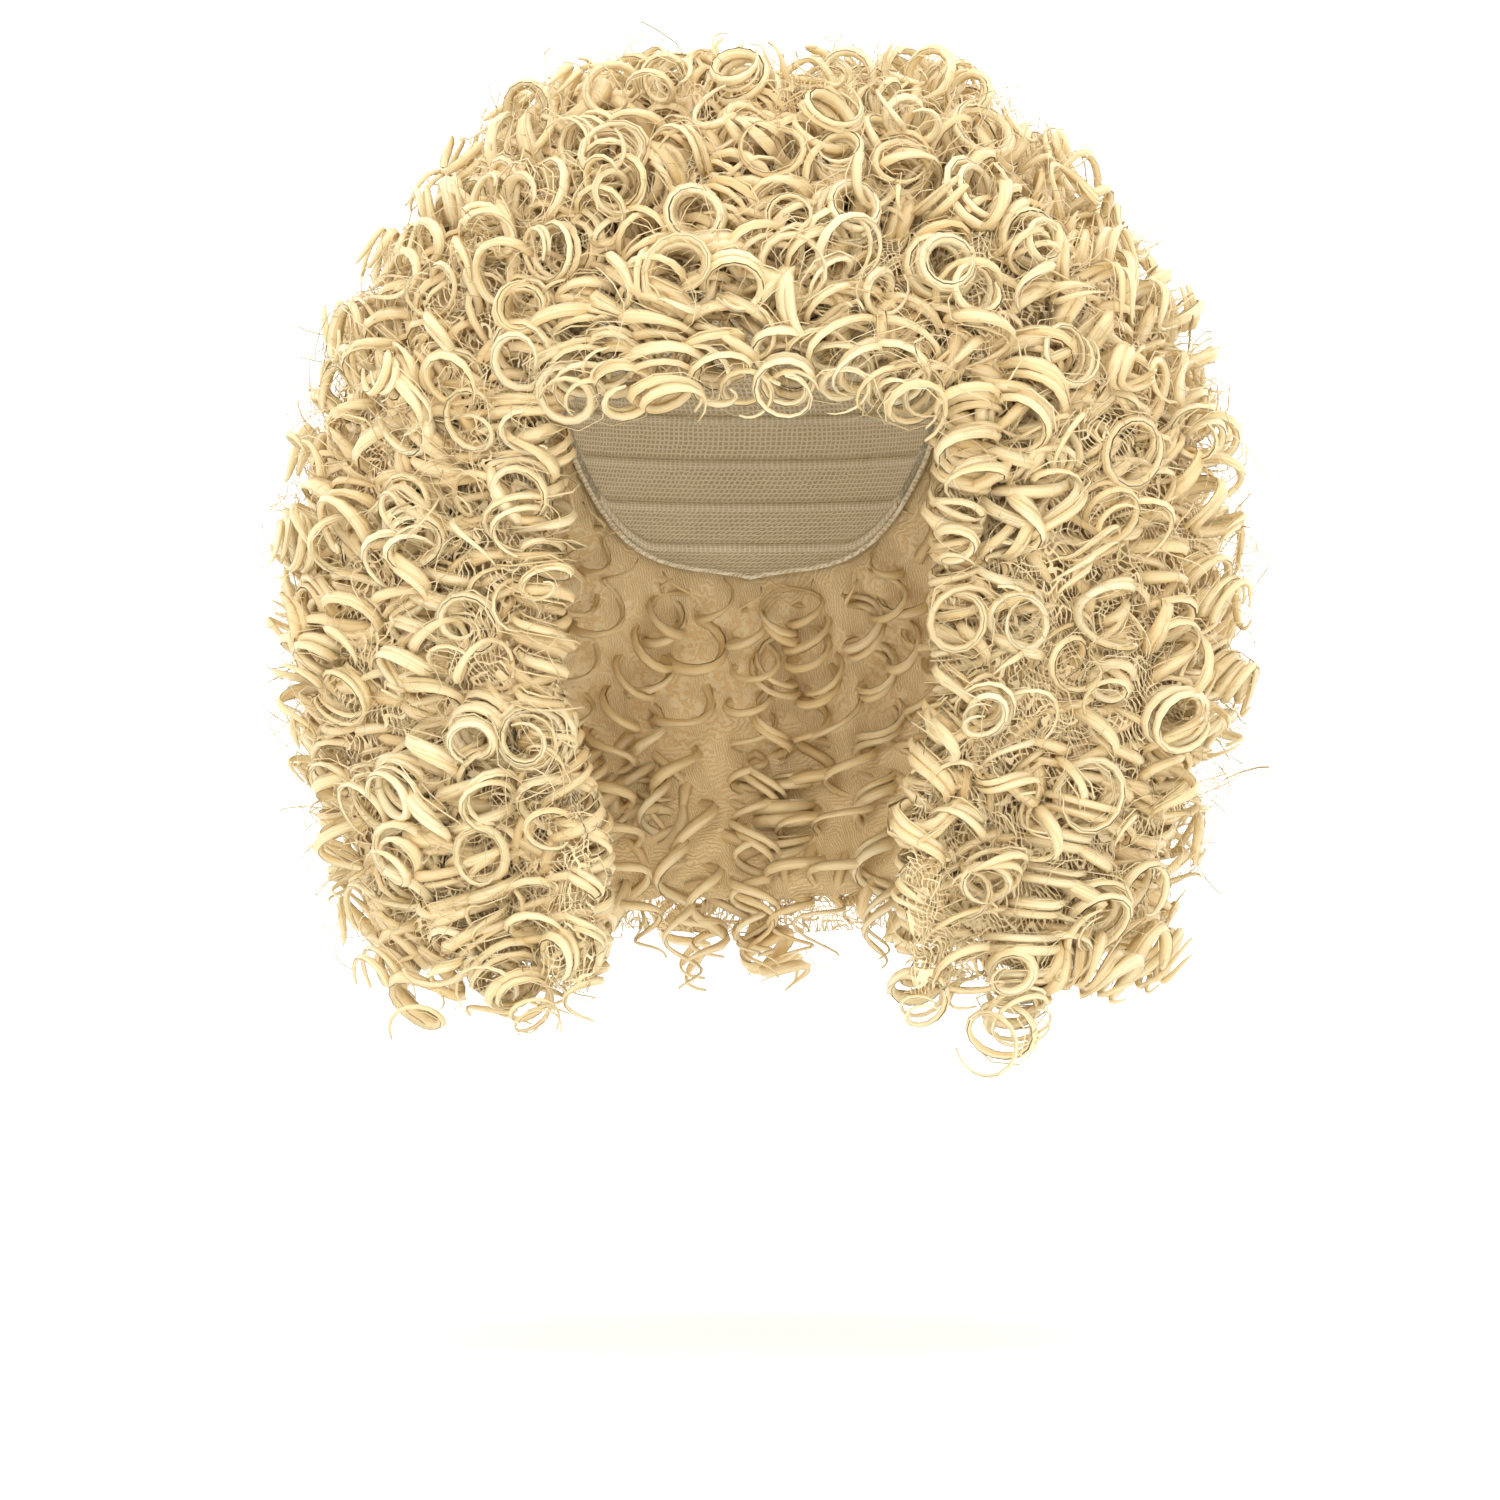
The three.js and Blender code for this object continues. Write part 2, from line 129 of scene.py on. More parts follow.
# Levels of the tips as shares of the hair's drop
tipLevels = np.array([(0, 1.0), (36, 1.0), (58, 0.98), (88, 0.94), (125, 0.94), (180, 0.96)])
sideSeam = 122


def smoothstep(value, low, high):
    t = np.clip((value - low) / (high - low), 0, 1)
    return t * t * (3 - 2 * t)


def lerp(a, b, t):
    return a + (b - a) * t


# The same azimuth between -180 and 180 degrees
def wrapped(azimuth):
    return (azimuth + 180) % 360 - 180


# Direction at an azimuth and an angle from straight up, in radians
def towards(azimuth, polar):
    across = np.sin(azimuth) * np.sin(polar)
    ahead = -np.cos(azimuth) * np.sin(polar)
    return np.stack([across, ahead, np.cos(polar) + 0 * azimuth], -1)


# Point at a reach from the upright axis, with its azimuth in radians
def atReach(reach, turned, level):
    return np.stack([reach * np.sin(turned), -reach * np.cos(turned), level + 0 * reach], -1)


# Smooth curve through the rows of a table
def through(keys, values, at):
    at = np.asarray(at, float)
    last = len(keys) - 1
    before = np.maximum(np.arange(last + 1) - 1, 0)
    after = np.minimum(np.arange(last + 1) + 1, last)
    slopes = (values[after] - values[before]) / (keys[after] - keys[before])
    i = np.clip(np.searchsorted(keys, at, side="left") - 1, 0, last - 1)
    span = keys[i + 1] - keys[i]
    t = np.clip((at - keys[i]) / span, 0, 1)
    bend = slopes[i] * (1 - t) - slopes[i + 1] * t
    return lerp(values[i], values[i + 1], t * t * (3 - 2 * t)) + span * t * (1 - t) * bend


outlineFalls = np.linspace(0, 1, len(outline))
hairHeight = hairShape["rise"] + hairShape["drop"]


def ovalReach(azimuth, side, depth, squareness=2.0):
    across = np.abs(np.sin(np.radians(azimuth))) / side
    along = np.abs(np.cos(np.radians(azimuth))) / depth
    return (across**squareness + along**squareness) ** (-1 / squareness)


def outlineLevel(fall):
    return hairShape["rise"] - hairHeight * through(outlineFalls, outline[:, 0], fall)


def outlineReach(azimuth, fall):
    azimuth = wrapped(np.asarray(azimuth, float))
    share = [through(outlineFalls, outline[:, column], fall) for column in range(1, 5)]
    side = hairShape["halfWidth"] * np.where(azimuth >= 0, share[0], share[1])
    depth = np.where(
        np.abs(azimuth) < 90,
        hairShape["frontReach"] * share[2],
        hairShape["backReach"] * share[3],
    )
    side = np.maximum(side, 1e-3)
    depth = np.maximum(depth, 1e-3)
    return ovalReach(azimuth, side, depth, hairShape["squareness"])


# The outline again as a shell seen from a point on the upright axis, which takes any direction
shellMiddle = -120.0
shellAzimuths = np.arange(0, 361, 4.0)
shellAngles = np.arange(0, 153, 1.5)


def buildShell():
    falls = np.linspace(0, 1, 240)
    levels = np.append(outlineLevel(falls), -520)
    reaches = []
    for azimuth in shellAzimuths:
        out = outlineReach(azimuth, falls)
        out[0] = 0
        out = np.append(out, out[-1])
        angles = np.degrees(np.arctan2(out, levels - shellMiddle))
        reaches.append(np.interp(shellAngles, angles, np.hypot(out, levels - shellMiddle)))
    return np.array(reaches)


shellReach = buildShell()


# Points of the outline in these directions from the middle of the shell
def onShell(direction):
    direction = direction / np.linalg.norm(direction, axis=-1, keepdims=True)
    azimuth = np.degrees(np.arctan2(direction[..., 0], -direction[..., 1])) % 360
    angle = np.degrees(np.arccos(np.clip(direction[..., 2], -1, 1)))
    column = np.clip(azimuth / (shellAzimuths[1] - shellAzimuths[0]), 0, len(shellAzimuths) - 1.001)
    row = np.clip(angle / (shellAngles[1] - shellAngles[0]), 0, len(shellAngles) - 1.001)
    c = column.astype(int)
    r = row.astype(int)
    fc = column - c
    fr = row - r
    upper = lerp(shellReach[c, r], shellReach[c + 1, r], fc)
    lower = lerp(shellReach[c, r + 1], shellReach[c + 1, r + 1], fc)
    point = direction * lerp(upper, lower, fr)[..., None]
    point[..., 2] += shellMiddle
    return point


def fromMiddle(point):
    return point - np.array([0, 0, shellMiddle])


def unit(vector):
    return vector / np.maximum(np.linalg.norm(vector, axis=-1, keepdims=True), 1e-9)


# Outline point, outward normal and downhill direction there
def shellFrame(direction):
    direction = unit(direction)
    around = unit(np.cross(direction, np.array([0.03, 0.02, -1.0])))
    down = unit(np.cross(around, direction))
    step = 0.03
    point = onShell(direction)
    acrossLine = onShell(direction + around * step) - onShell(direction - around * step)
    downLine = onShell(direction + down * step) - onShell(direction - down * step)
    normal = unit(np.cross(downLine, acrossLine))
    normal *= np.sign(np.sum(normal * direction, axis=-1, keepdims=True))
    return point, normal, unit(downLine)


def azimuthOf(point):
    return np.degrees(np.arctan2(point[..., 0], -point[..., 1]))


def rimLevel(azimuth):
    return -through(capRim[:, 0], capRim[:, 1], np.abs(azimuth))


def tipLevel(azimuth):
    return -hairShape["drop"] * through(tipLevels[:, 0], tipLevels[:, 1], np.abs(azimuth))


def seamLevel(azimuth):
    share = through(crownSeam[:, 0], crownSeam[:, 1], np.abs(azimuth))
    return hairShape["rise"] - hairHeight * share


def faceGap(level):
    closed = np.clip(
        (-level - hairShape["jawDrop"]) / (hairShape["collarDrop"] - hairShape["jawDrop"]), 0, 1
    )
    return lerp(hairShape["faceGap"], hairShape["throatGap"], closed)


def headReach(azimuth, level, margin):
    widest = headShape["crownToWidest"]
    rise = (level + widest) / (widest + margin)
    share = np.sqrt(np.maximum(1 - rise * rise, 0))
    return share * ovalReach(azimuth, headShape["halfWidth"] + margin, headShape["halfDepth"] + margin)


levelFalls = np.linspace(outlineFalls[1], 1, 400)
levelsDown = outlineLevel(levelFalls)


def reachAtLevel(azimuth, level):
    fall = np.interp(-np.asarray(level, float), -levelsDown, levelFalls)
    return outlineReach(azimuth, fall)


# Inside of the hair: it hugs the head, then flares away from it below the cap
def hollowReach(azimuth, level, curtain, margin):
    rim = rimLevel(azimuth)
    lowestHug = np.minimum(rim, -headShape["crownToWidest"])
    head = headReach(azimuth, np.maximum(level, lowestHug), headShape["capWall"] + margin)
    free = reachAtLevel(azimuth, level) - curtain
    return lerp(head, np.maximum(head, free), smoothstep(rim - level, 0, hairShape["flareDrop"]))


print("outline ready")

# Ringlets. Each is one or more tows of fibre wound round a guide, spun once and bent along it
guideSamples = 22  # points along a guide


# Faces of a capped tube of so many steps, from a ring that is spun round and up
def spunTow(steps, stepsPerTurn, sides):
    work = bmesh.new()
    bmesh.ops.create_circle(work, cap_ends=False, segments=sides, radius=0.2)
    for vertex in work.verts:
        vertex.co = Vector((1 + vertex.co.x, 0, vertex.co.y))
    bmesh.ops.spin(
        work,
        geom=work.verts[:] + work.edges[:],
        cent=(0, 0, 0),
        axis=(0, 0, 1),
        dvec=(0, 0, 1 / stepsPerTurn),
        angle=tau * steps / stepsPerTurn,
        steps=steps,
        use_merge=False,
        use_duplicate=False,
    )
    work.verts.ensure_lookup_table()
    bmesh.ops.contextual_create(work, geom=work.verts[:sides])
    bmesh.ops.contextual_create(work, geom=work.verts[-sides:])
    bmesh.ops.recalc_face_normals(work, faces=work.faces[:])
    corners = np.array([v.index for f in work.faces for v in f.verts])
    sizes = np.array([len(f.verts) for f in work.faces])
    work.free()
    return corners, sizes


towCache = {}


def towFaces(steps, stepsPerTurn, sides):
    key = (steps, stepsPerTurn, sides)
    if key not in towCache:
        towCache[key] = spunTow(*key)
    return towCache[key]


# Points, sideways and outward axes at shares of the way along guides (one row of shares for each)
def alongGuide(guides, share):
    line, tangent, aside = guides
    count, samples, _ = line.shape
    at = np.clip(share, 0, 1) * (samples - 1)
    i = np.minimum(at.astype(int), samples - 2)
    t = (at - i)[..., None]
    row = np.arange(count)[:, None]
    point = lerp(line[row, i], line[row, i + 1], t)
    beyond = (share - np.clip(share, 0, 1))[..., None]
    forward = unit(lerp(tangent[row, i], tangent[row, i + 1], t))
    side = lerp(aside[row, i], aside[row, i + 1], t)
    side = unit(side - forward * np.sum(side * forward, axis=-1, keepdims=True))
    length = np.linalg.norm(np.diff(line, axis=1), axis=-1).sum(axis=1)[:, None, None]
    return point + forward * beyond * length, side, np.cross(forward, side)


# Adds to guide lines their directions, and a sideways axis carried along without twist
def framed(line):
    tangent = unit(np.gradient(line, axis=1))
    seed = np.where(np.abs(tangent[:, 0, 2:3]) > 0.8, np.array([1.0, 0, 0]), np.array([0, 0, 1.0]))
    aside = np.empty_like(line)
    current = unit(np.cross(tangent[:, 0], seed))
    for k in range(line.shape[1]):
        current = current - tangent[:, k] * np.sum(current * tangent[:, k], axis=-1, keepdims=True)
        current = unit(current)
        aside[:, k] = current
    return line, tangent, aside


# Puts the points of each line at equal distances along it
def evenly(line):
    steps = np.linalg.norm(np.diff(line, axis=1), axis=-1)
    travelled = np.concatenate([np.zeros((len(line), 1)), np.cumsum(steps, axis=1)], axis=1)
    out = np.empty_like(line)
    for n in range(len(line)):
        wanted = np.linspace(0, travelled[n, -1], line.shape[1])
        for axis in range(3):
            out[n, :, axis] = np.interp(wanted, travelled[n], line[n, :, axis])
    return out, travelled[:, -1]


# Form that all tows share, as shares of their length and width: how they taper, pinch and widen
towForm = {
    "rootTaper": 0.12,
    "rootShare": 0.25,
    "tipRoundness": 0.6,
    "pinch": 0.2,
    "pinchesPerTurn": 0.43,
    "tipWiden": 0.35,
    "rootWiden": 0.2,
    "rootRadius": 0.55,
    "driftsPerTurn": 0.7,
    "fewestSteps": 5,
}


# Meshes of tows wound round guide lines. tows holds an array for each property of a tow
def windTows(line, tows, bundle):
    stepsPerTurn = bundle["steps"]
    sides = bundle["sides"]
    line, length = evenly(line)
    guides = framed(line)
    turns = length / tows["turnHeight"]
    steps = np.maximum(np.round(turns * stepsPerTurn).astype(int), towForm["fewestSteps"])
    parts = []
    ring = np.arange(sides) * tau / sides

    def pick(key):
        return tows[key][chosen][:, None]

    for count in np.unique(steps):
        chosen = np.nonzero(steps == count)[0]
        corners, sizes = towFaces(int(count), stepsPerTurn, sides)
        step = np.repeat(np.arange(count + 1), sides)
        around = np.tile(ring, count + 1)
        share = np.tile(step / count, (len(chosen), 1))
        tip = smoothstep(1 - share, 0, pick("tipTaper")) ** towForm["tipRoundness"]
        root = smoothstep(share, 0, towForm["rootTaper"])
        thin = lerp(pick("tipShare"), 1, tip) * lerp(towForm["rootShare"], 1, root)
        pinches = share * turns[chosen][:, None] * towForm["pinchesPerTurn"] + pick("seed") * 5
        pinch = 1 + towForm["pinch"] * np.sin(tau * pinches)
        swell = 1 + pick("swell") * np.sin(tau * (share * pick("swellTurns") + pick("swellPhase")))
        tipWide = smoothstep(1 - share, 0, towForm["tipWiden"])
        coil = pick("radius") * swell * lerp(pick("tipRadius"), 1, tipWide)
        coil = coil * lerp(towForm["rootRadius"], 1, smoothstep(share, 0, towForm["rootWiden"]))
        angle = pick("hand") * (share * (turns[chosen][:, None]) + pick("phase")) * tau
        outward = coil + np.cos(around)[None, :] * pick("thickness") / 2 * thin
        upward = np.sin(around)[None, :] * pick("width") / 2 * thin * pinch
        place = share + (upward + pick("lift")) / length[chosen][:, None]
        chosenGuides = tuple(part[chosen] for part in guides)
        point, side, out = alongGuide(chosenGuides, place)
        point = point + outward[..., None] * (
            side * np.cos(angle)[..., None] + out * np.sin(angle)[..., None]
        )
        drifts = share * turns[chosen][:, None] * towForm["driftsPerTurn"]
        drift = tau * (drifts + pick("swellPhase"))
        point = point + (pick("wander") * np.sin(drift))[..., None] * side
        point = point + (pick("wander") * np.cos(drift * 0.77 + pick("seed") * 9))[..., None] * out
        perTurn = np.hypot(tau * tows["radius"][chosen], tows["turnHeight"][chosen])[:, None]
        run = share * turns[chosen][:, None] * perTurn
        across = np.tile(0.5 + 0.5 * np.sin(around), (len(chosen), 1))
        strand = np.stack([across, run, pick("seed") + 0 * share], axis=-1)
        rings = point.reshape(len(chosen), count + 1, sides, 3).mean(axis=2)
        direction = np.repeat(unit(np.gradient(rings, axis=1)), sides, axis=1)
        tone = np.stack([share, pick("shade") + 0 * share, pick("tint") + 0 * share], axis=-1)
        total = len(step)
        offsets = (np.arange(len(chosen)) * total)[:, None]
        flipped = tows["hand"][chosen] < 0
        reverse = np.concatenate(
            [np.arange(end - 1, end - size - 1, -1) for end, size in zip(np.cumsum(sizes), sizes)]
        )
        faces = np.where(flipped[:, None], corners[reverse][None, :], corners[None, :]) + offsets
        parts.append(
            (
                point.reshape(-1, 3),
                faces.reshape(-1),
                np.tile(sizes, len(chosen)),
                strand.reshape(-1, 3),
                tone.reshape(-1, 3),
                direction.reshape(-1, 3),
            )
        )
    return parts


def addPiece(name, mesh, material):
    mesh.materials.append(material)
    piece = bpy.data.objects.new(name, mesh)
    scene.collection.objects.link(piece)
    print(name, len(mesh.loops) - 2 * len(mesh.polygons), "triangles")
    return piece


# One mesh object from lists of (points, corners, face sizes, strand, tone, fibre direction)
def meshPiece(name, parts, material):
    starts = np.cumsum([0] + [len(part[0]) for part in parts[:-1]])
    points = np.concatenate([part[0] for part in parts]) * mm
    corners = np.concatenate([part[1] + start for part, start in zip(parts, starts)])
    sizes = np.concatenate([part[2] for part in parts])
    mesh = bpy.data.meshes.new(name)
    mesh.vertices.add(len(points))
    mesh.vertices.foreach_set("co", points.astype(np.float32).ravel())
    mesh.loops.add(len(corners))
    mesh.loops.foreach_set("vertex_index", corners.astype(np.int32))
    mesh.polygons.add(len(sizes))
    firstCorners = np.concatenate([[0], np.cumsum(sizes)[:-1]])
    mesh.polygons.foreach_set("loop_start", firstCorners.astype(np.int32))
    mesh.polygons.foreach_set("use_smooth", np.ones(len(sizes), bool))
    for label, column in (("strand", 3), ("tone", 4), ("fibre", 5)):
        layer = mesh.attributes.new(label, "FLOAT_VECTOR", "POINT")
        values = np.concatenate([part[column] for part in parts])
        layer.data.foreach_set("vector", values.astype(np.float32).ravel())
    mesh.update(calc_edges=True)
    mesh.validate()
    return addPiece(name, mesh, material)


# How guides grow: the levels over which crown curls turn and sink, the flip of a tip, and the bends
growth = {
    "turnFrom": -20,
    "turnFull": 36,
    "sinkFrom": -60,
    "sinkFull": 10,
    "flipFrom": 0.05,  # share of the guide from its tip
    "bendWave": 4,  # radians along a guide
    "pull": 0.55,  # of the way downhill on each step, against that of the step before
    "steadiness": 0.45,
}


# Guide lines from tips at directions on the shell, up the outline and into it, returned root first
def growGuides(tips, curls):
    depth = curls["depth"]
    direction = tips
    point, normal, down = shellFrame(direction)
    topness = smoothstep(point[:, 2], growth["turnFrom"], growth["turnFull"])
    tilt = np.radians(curls["tilt"] + topness * curls["topTilt"])
    bend = np.radians(curls["bend"])
    flip = np.radians(curls["flip"])
    travel = curls["length"] / (guideSamples - 1)
    line = []
    lastAlong = None
    for k in range(guideSamples):
        share = k / (guideSamples - 1)
        sunk = smoothstep(point[:, 2], growth["sinkFrom"], growth["sinkFull"])
        crownDepth = curls["topDepth"] * sunk
        line.append(point - normal * (depth + crownDepth)[:, None])
        rise = flip * (1 - smoothstep(share, growth["flipFrom"], curls["flipReach"]))
        turn = tilt + bend * np.sin(curls["bendPhase"] + share * growth["bendWave"])
        along = down * np.cos(turn)[:, None] + np.cross(normal, down) * np.sin(turn)[:, None]
        if k > 0:
            along = unit(along * growth["pull"] + lastAlong * growth["steadiness"])
        lastAlong = along
        direction = fromMiddle(point - along * (travel * np.cos(rise))[:, None])
        point, normal, down = shellFrame(direction)
        deeper = travel * np.maximum(np.sin(rise), curls["slope"])
        depth = np.minimum(depth + deeper, np.maximum(curls["depth"] + curls["dive"], depth))
    return np.stack(line[::-1], axis=1)


# Where guides are kept off the face: from the first height above the fringe's tips, and fully from the
# second, and from behind the middle of the head to ahead of it
faceEdge = {"starts": 42, "full": 6, "behind": 10, "ahead": 20}


# Moves guides sideways out of the opening for the face and throat
def keepOffFace(line, reach):
    line = line.copy()
    x, y, z = line[..., 0], line[..., 1], line[..., 2]
    fringeDrop = hairShape["fringeDrop"]
    fringeLow = smoothstep(-z, fringeDrop - faceEdge["starts"], fringeDrop - faceEdge["full"])
    ahead = smoothstep(-y, -faceEdge["behind"], faceEdge["ahead"])
    wanted = (faceGap(z) + reach[:, None]) * fringeLow * ahead
    side = np.sign(line[:, -1:, 0])
    short = np.maximum(wanted - x * side, 0)
    line[..., 0] = x + side * short
    return line


# How tips are sown: angles from straight up, in degrees, and how far a tip strays from its even place
sowing = {
    "lowestAngle": 152,
    "samples": 600,
    "ringStep": 3.0,
    "strayAcross": 0.4,  # of the space between tips
    "strayDown": 0.45,  # of the angle between rows
    "rowAngle": 6,
    "lowestTip": (-4, 16),  # above the level of the longest tips
}


# Directions of tips, in staggered rows over the shell down to the level of the longest tips
def sowTips(rng, spec):
    rows = []
    angles = np.linspace(0, sowing["lowestAngle"], sowing["samples"])
    polar = np.radians(angles)
    quarter = onShell(np.stack([np.sin(polar), 0 * polar, np.cos(polar)], -1))
    run = np.concatenate([[0], np.cumsum(np.linalg.norm(np.diff(quarter, axis=0), axis=-1))])
    rowCount = int(run[-1] / spec["rowSpacing"])
    for row in range(rowCount):
        angle = np.interp((row + 0.5) * spec["rowSpacing"], run, angles)
        ring = np.radians(np.arange(0, 360, sowing["ringStep"]))
        circle = onShell(towards(ring, np.radians(angle)))
        around = np.linalg.norm(np.diff(circle, axis=0, append=circle[:1]), axis=-1).sum()
        count = max(int(around / spec["tipSpacing"]), 3)
        aside = rng.uniform(-sowing["strayAcross"], sowing["strayAcross"], count)
        azimuth = (np.arange(count) + 0.5 * (row % 2) + aside) / count * tau
        lower = rng.uniform(-sowing["strayDown"], sowing["strayDown"], count)
        polar = np.radians(angle + lower * sowing["rowAngle"])
        rows.append(towards(azimuth, polar))
    tips = np.concatenate(rows)
    point = onShell(tips)
    azimuth = azimuthOf(point)
    level = point[:, 2]
    low = tipLevel(azimuth) + rng.uniform(*sowing["lowestTip"], len(tips))
    besideFace = np.abs(point[:, 0]) < faceGap(level) + hairShape["openingMargin"]
    belowFringe = level < hairShape["openingMargin"] - hairShape["fringeDrop"]
    inOpening = besideFace & belowFringe & (point[:, 1] < 0)
    return tips[(level > low) & ~inOpening]


# Which section of the wig each guide belongs to, by its tip
def sectionOf(line):
    tip = line[:, -1]
    azimuth = azimuthOf(tip)
    names = np.full(len(line), "back", dtype=object)
    names[(azimuth >= 0) & (azimuth < sideSeam)] = "left"
    names[(azimuth < 0) & (azimuth > -sideSeam)] = "right"
    seam = seamLevel(azimuth) - hairShape["seamOverhang"]
    names[tip[:, 2] > seam] = "crown"
    overFace = (np.abs(tip[:, 0]) < hairShape["faceGap"]) & (tip[:, 1] < 0)
    fringeEnd = -hairShape["fringeDrop"] - hairShape["fringeSlack"]
    names[overFace & (tip[:, 2] <= seam) & (tip[:, 2] > fringeEnd)] = "fringe"
    return names


# Settings of a curl that are drawn at random, in this order
drawnRanges = (
    "length",
    "depth",
    "dive",
    "slope",
    "flip",
    "flipReach",
    "radius",
    "turnHeight",
    "wander",
)


# Random settings of a curl for each tip, within the ranges of its kind
def drawCurls(rng, tips, spec):
    count = len(tips)
    kinds = list(spec["kinds"].values())
    shares = np.array([kind["share"] for kind in kinds])
    kind = rng.choice(len(kinds), count, p=shares / shares.sum())
    curls = {}
    for key in drawnRanges:
        ranges = np.array([{**spec, **each}[key] for each in kinds])[kind]
        curls[key] = rng.uniform(ranges[:, 0], ranges[:, 1])
    for key in ("tilt", "bend"):
        spread = np.array([{**spec, **each}[key] for each in kinds])[kind]
        curls[key] = rng.normal(0, 1, count) * spread
    curls["topTilt"] = rng.uniform(*spec["topTilt"], count)
    curls["topDepth"] = rng.uniform(*spec["topDepth"], count)
    curls["bendPhase"] = rng.uniform(0, tau, count)
    curls["hand"] = np.where(rng.uniform(0, 1, count) < 0.5, -1.0, 1.0)
    curls["phase"] = rng.uniform(0, 1, count)
    curls["tint"] = rng.uniform(0, 1, count)
    return curls


# Parts each curl in its tows, or draws the loose fibres beside them
def splitTows(rng, curls, spec, bundle):
    count = len(curls["radius"])
    towCount = rng.choice(len(bundle["shares"]), count, p=bundle["shares"]) + 1
    owner = np.repeat(np.arange(count), towCount)
    number = np.concatenate([np.arange(n) for n in towCount])
    total = len(owner)
    width = rng.uniform(*bundle["width"], total)
    tows = {
        "radius": curls["radius"][owner] * rng.uniform(*bundle["radiusShare"], total),
        "turnHeight": curls["turnHeight"][owner],
        "hand": curls["hand"][owner],
        "phase": curls["phase"][owner] + rng.uniform(-1, 1, total) * bundle["phaseSpread"],
        "width": width,
        "thickness": width * rng.uniform(*bundle["flatness"], total),
        "lift": number * rng.uniform(*bundle["lift"], total),
        "swell": rng.uniform(*bundle["swell"], total),
        "swellTurns": rng.uniform(*bundle["swellTurns"], total),
        "swellPhase": rng.uniform(0, 1, total),
        "wander": curls["wander"][owner] * rng.uniform(*bundle["wanderShare"], total),
        "tipTaper": rng.uniform(*spec["tipTaper"], total),
        "tipShare": rng.uniform(*bundle["tipShare"], total),
        "tipRadius": rng.uniform(*bundle["tipRadius"], total),
        "seed": rng.uniform(0, 1, total),
        # the layer's painted shade, with a random stray of tone for each tow
        "shade": rng.uniform(*bundle["shadeStray"], total) + spec["shade"],
        "tint": np.clip(curls["tint"][owner] + rng.uniform(*bundle["tintStray"], total), 0, 1),
    }
    return owner, tows


# Modacrylic fibre, spun and heat curled: pale and glossy along the tow, streaked, with painted shade in
# its depths: a darker gold mixed in under the outer layer and towards the roots
curlFinish = {
    "light": "#FDF0CB",
    "middle": "#F9E4B3",
    "gold": "#EACA8C",
    # painted shade: the darker gold of the hair's depths, and how much of it each tow takes at its root
    "paintedShade": "#E4BE7E",
    "rootDepth": 0.35,
    "fibresAcross": 9.0,  # streaks over a tow: real fibres are 0.07 mm, so they are drawn some 0.5 mm wide
    "streakLength": 45.0,
    "bumpHeight": 0.35,
    "frayFrom": 0.36,  # of the tow's width from its middle, past which single fibres part from it
    "roughness": 0.37,
    "sheen": 0.1,
    "anisotropy": 0.6,
}


# Colours at three places along a texture's range
def addRamp(tree, factor, low, middle, high):
    made = addNode(tree, "ShaderNodeValToRGB", {"Fac": factor})
    stops = made.color_ramp.elements
    stops[0].position, stops[1].position = low[0], high[0]
    stops[0].color = linearColour(low[1])
    stops[1].color = linearColour(high[1])
    stops.new(middle[0]).color = linearColour(middle[1])
    return made.outputs["Color"]


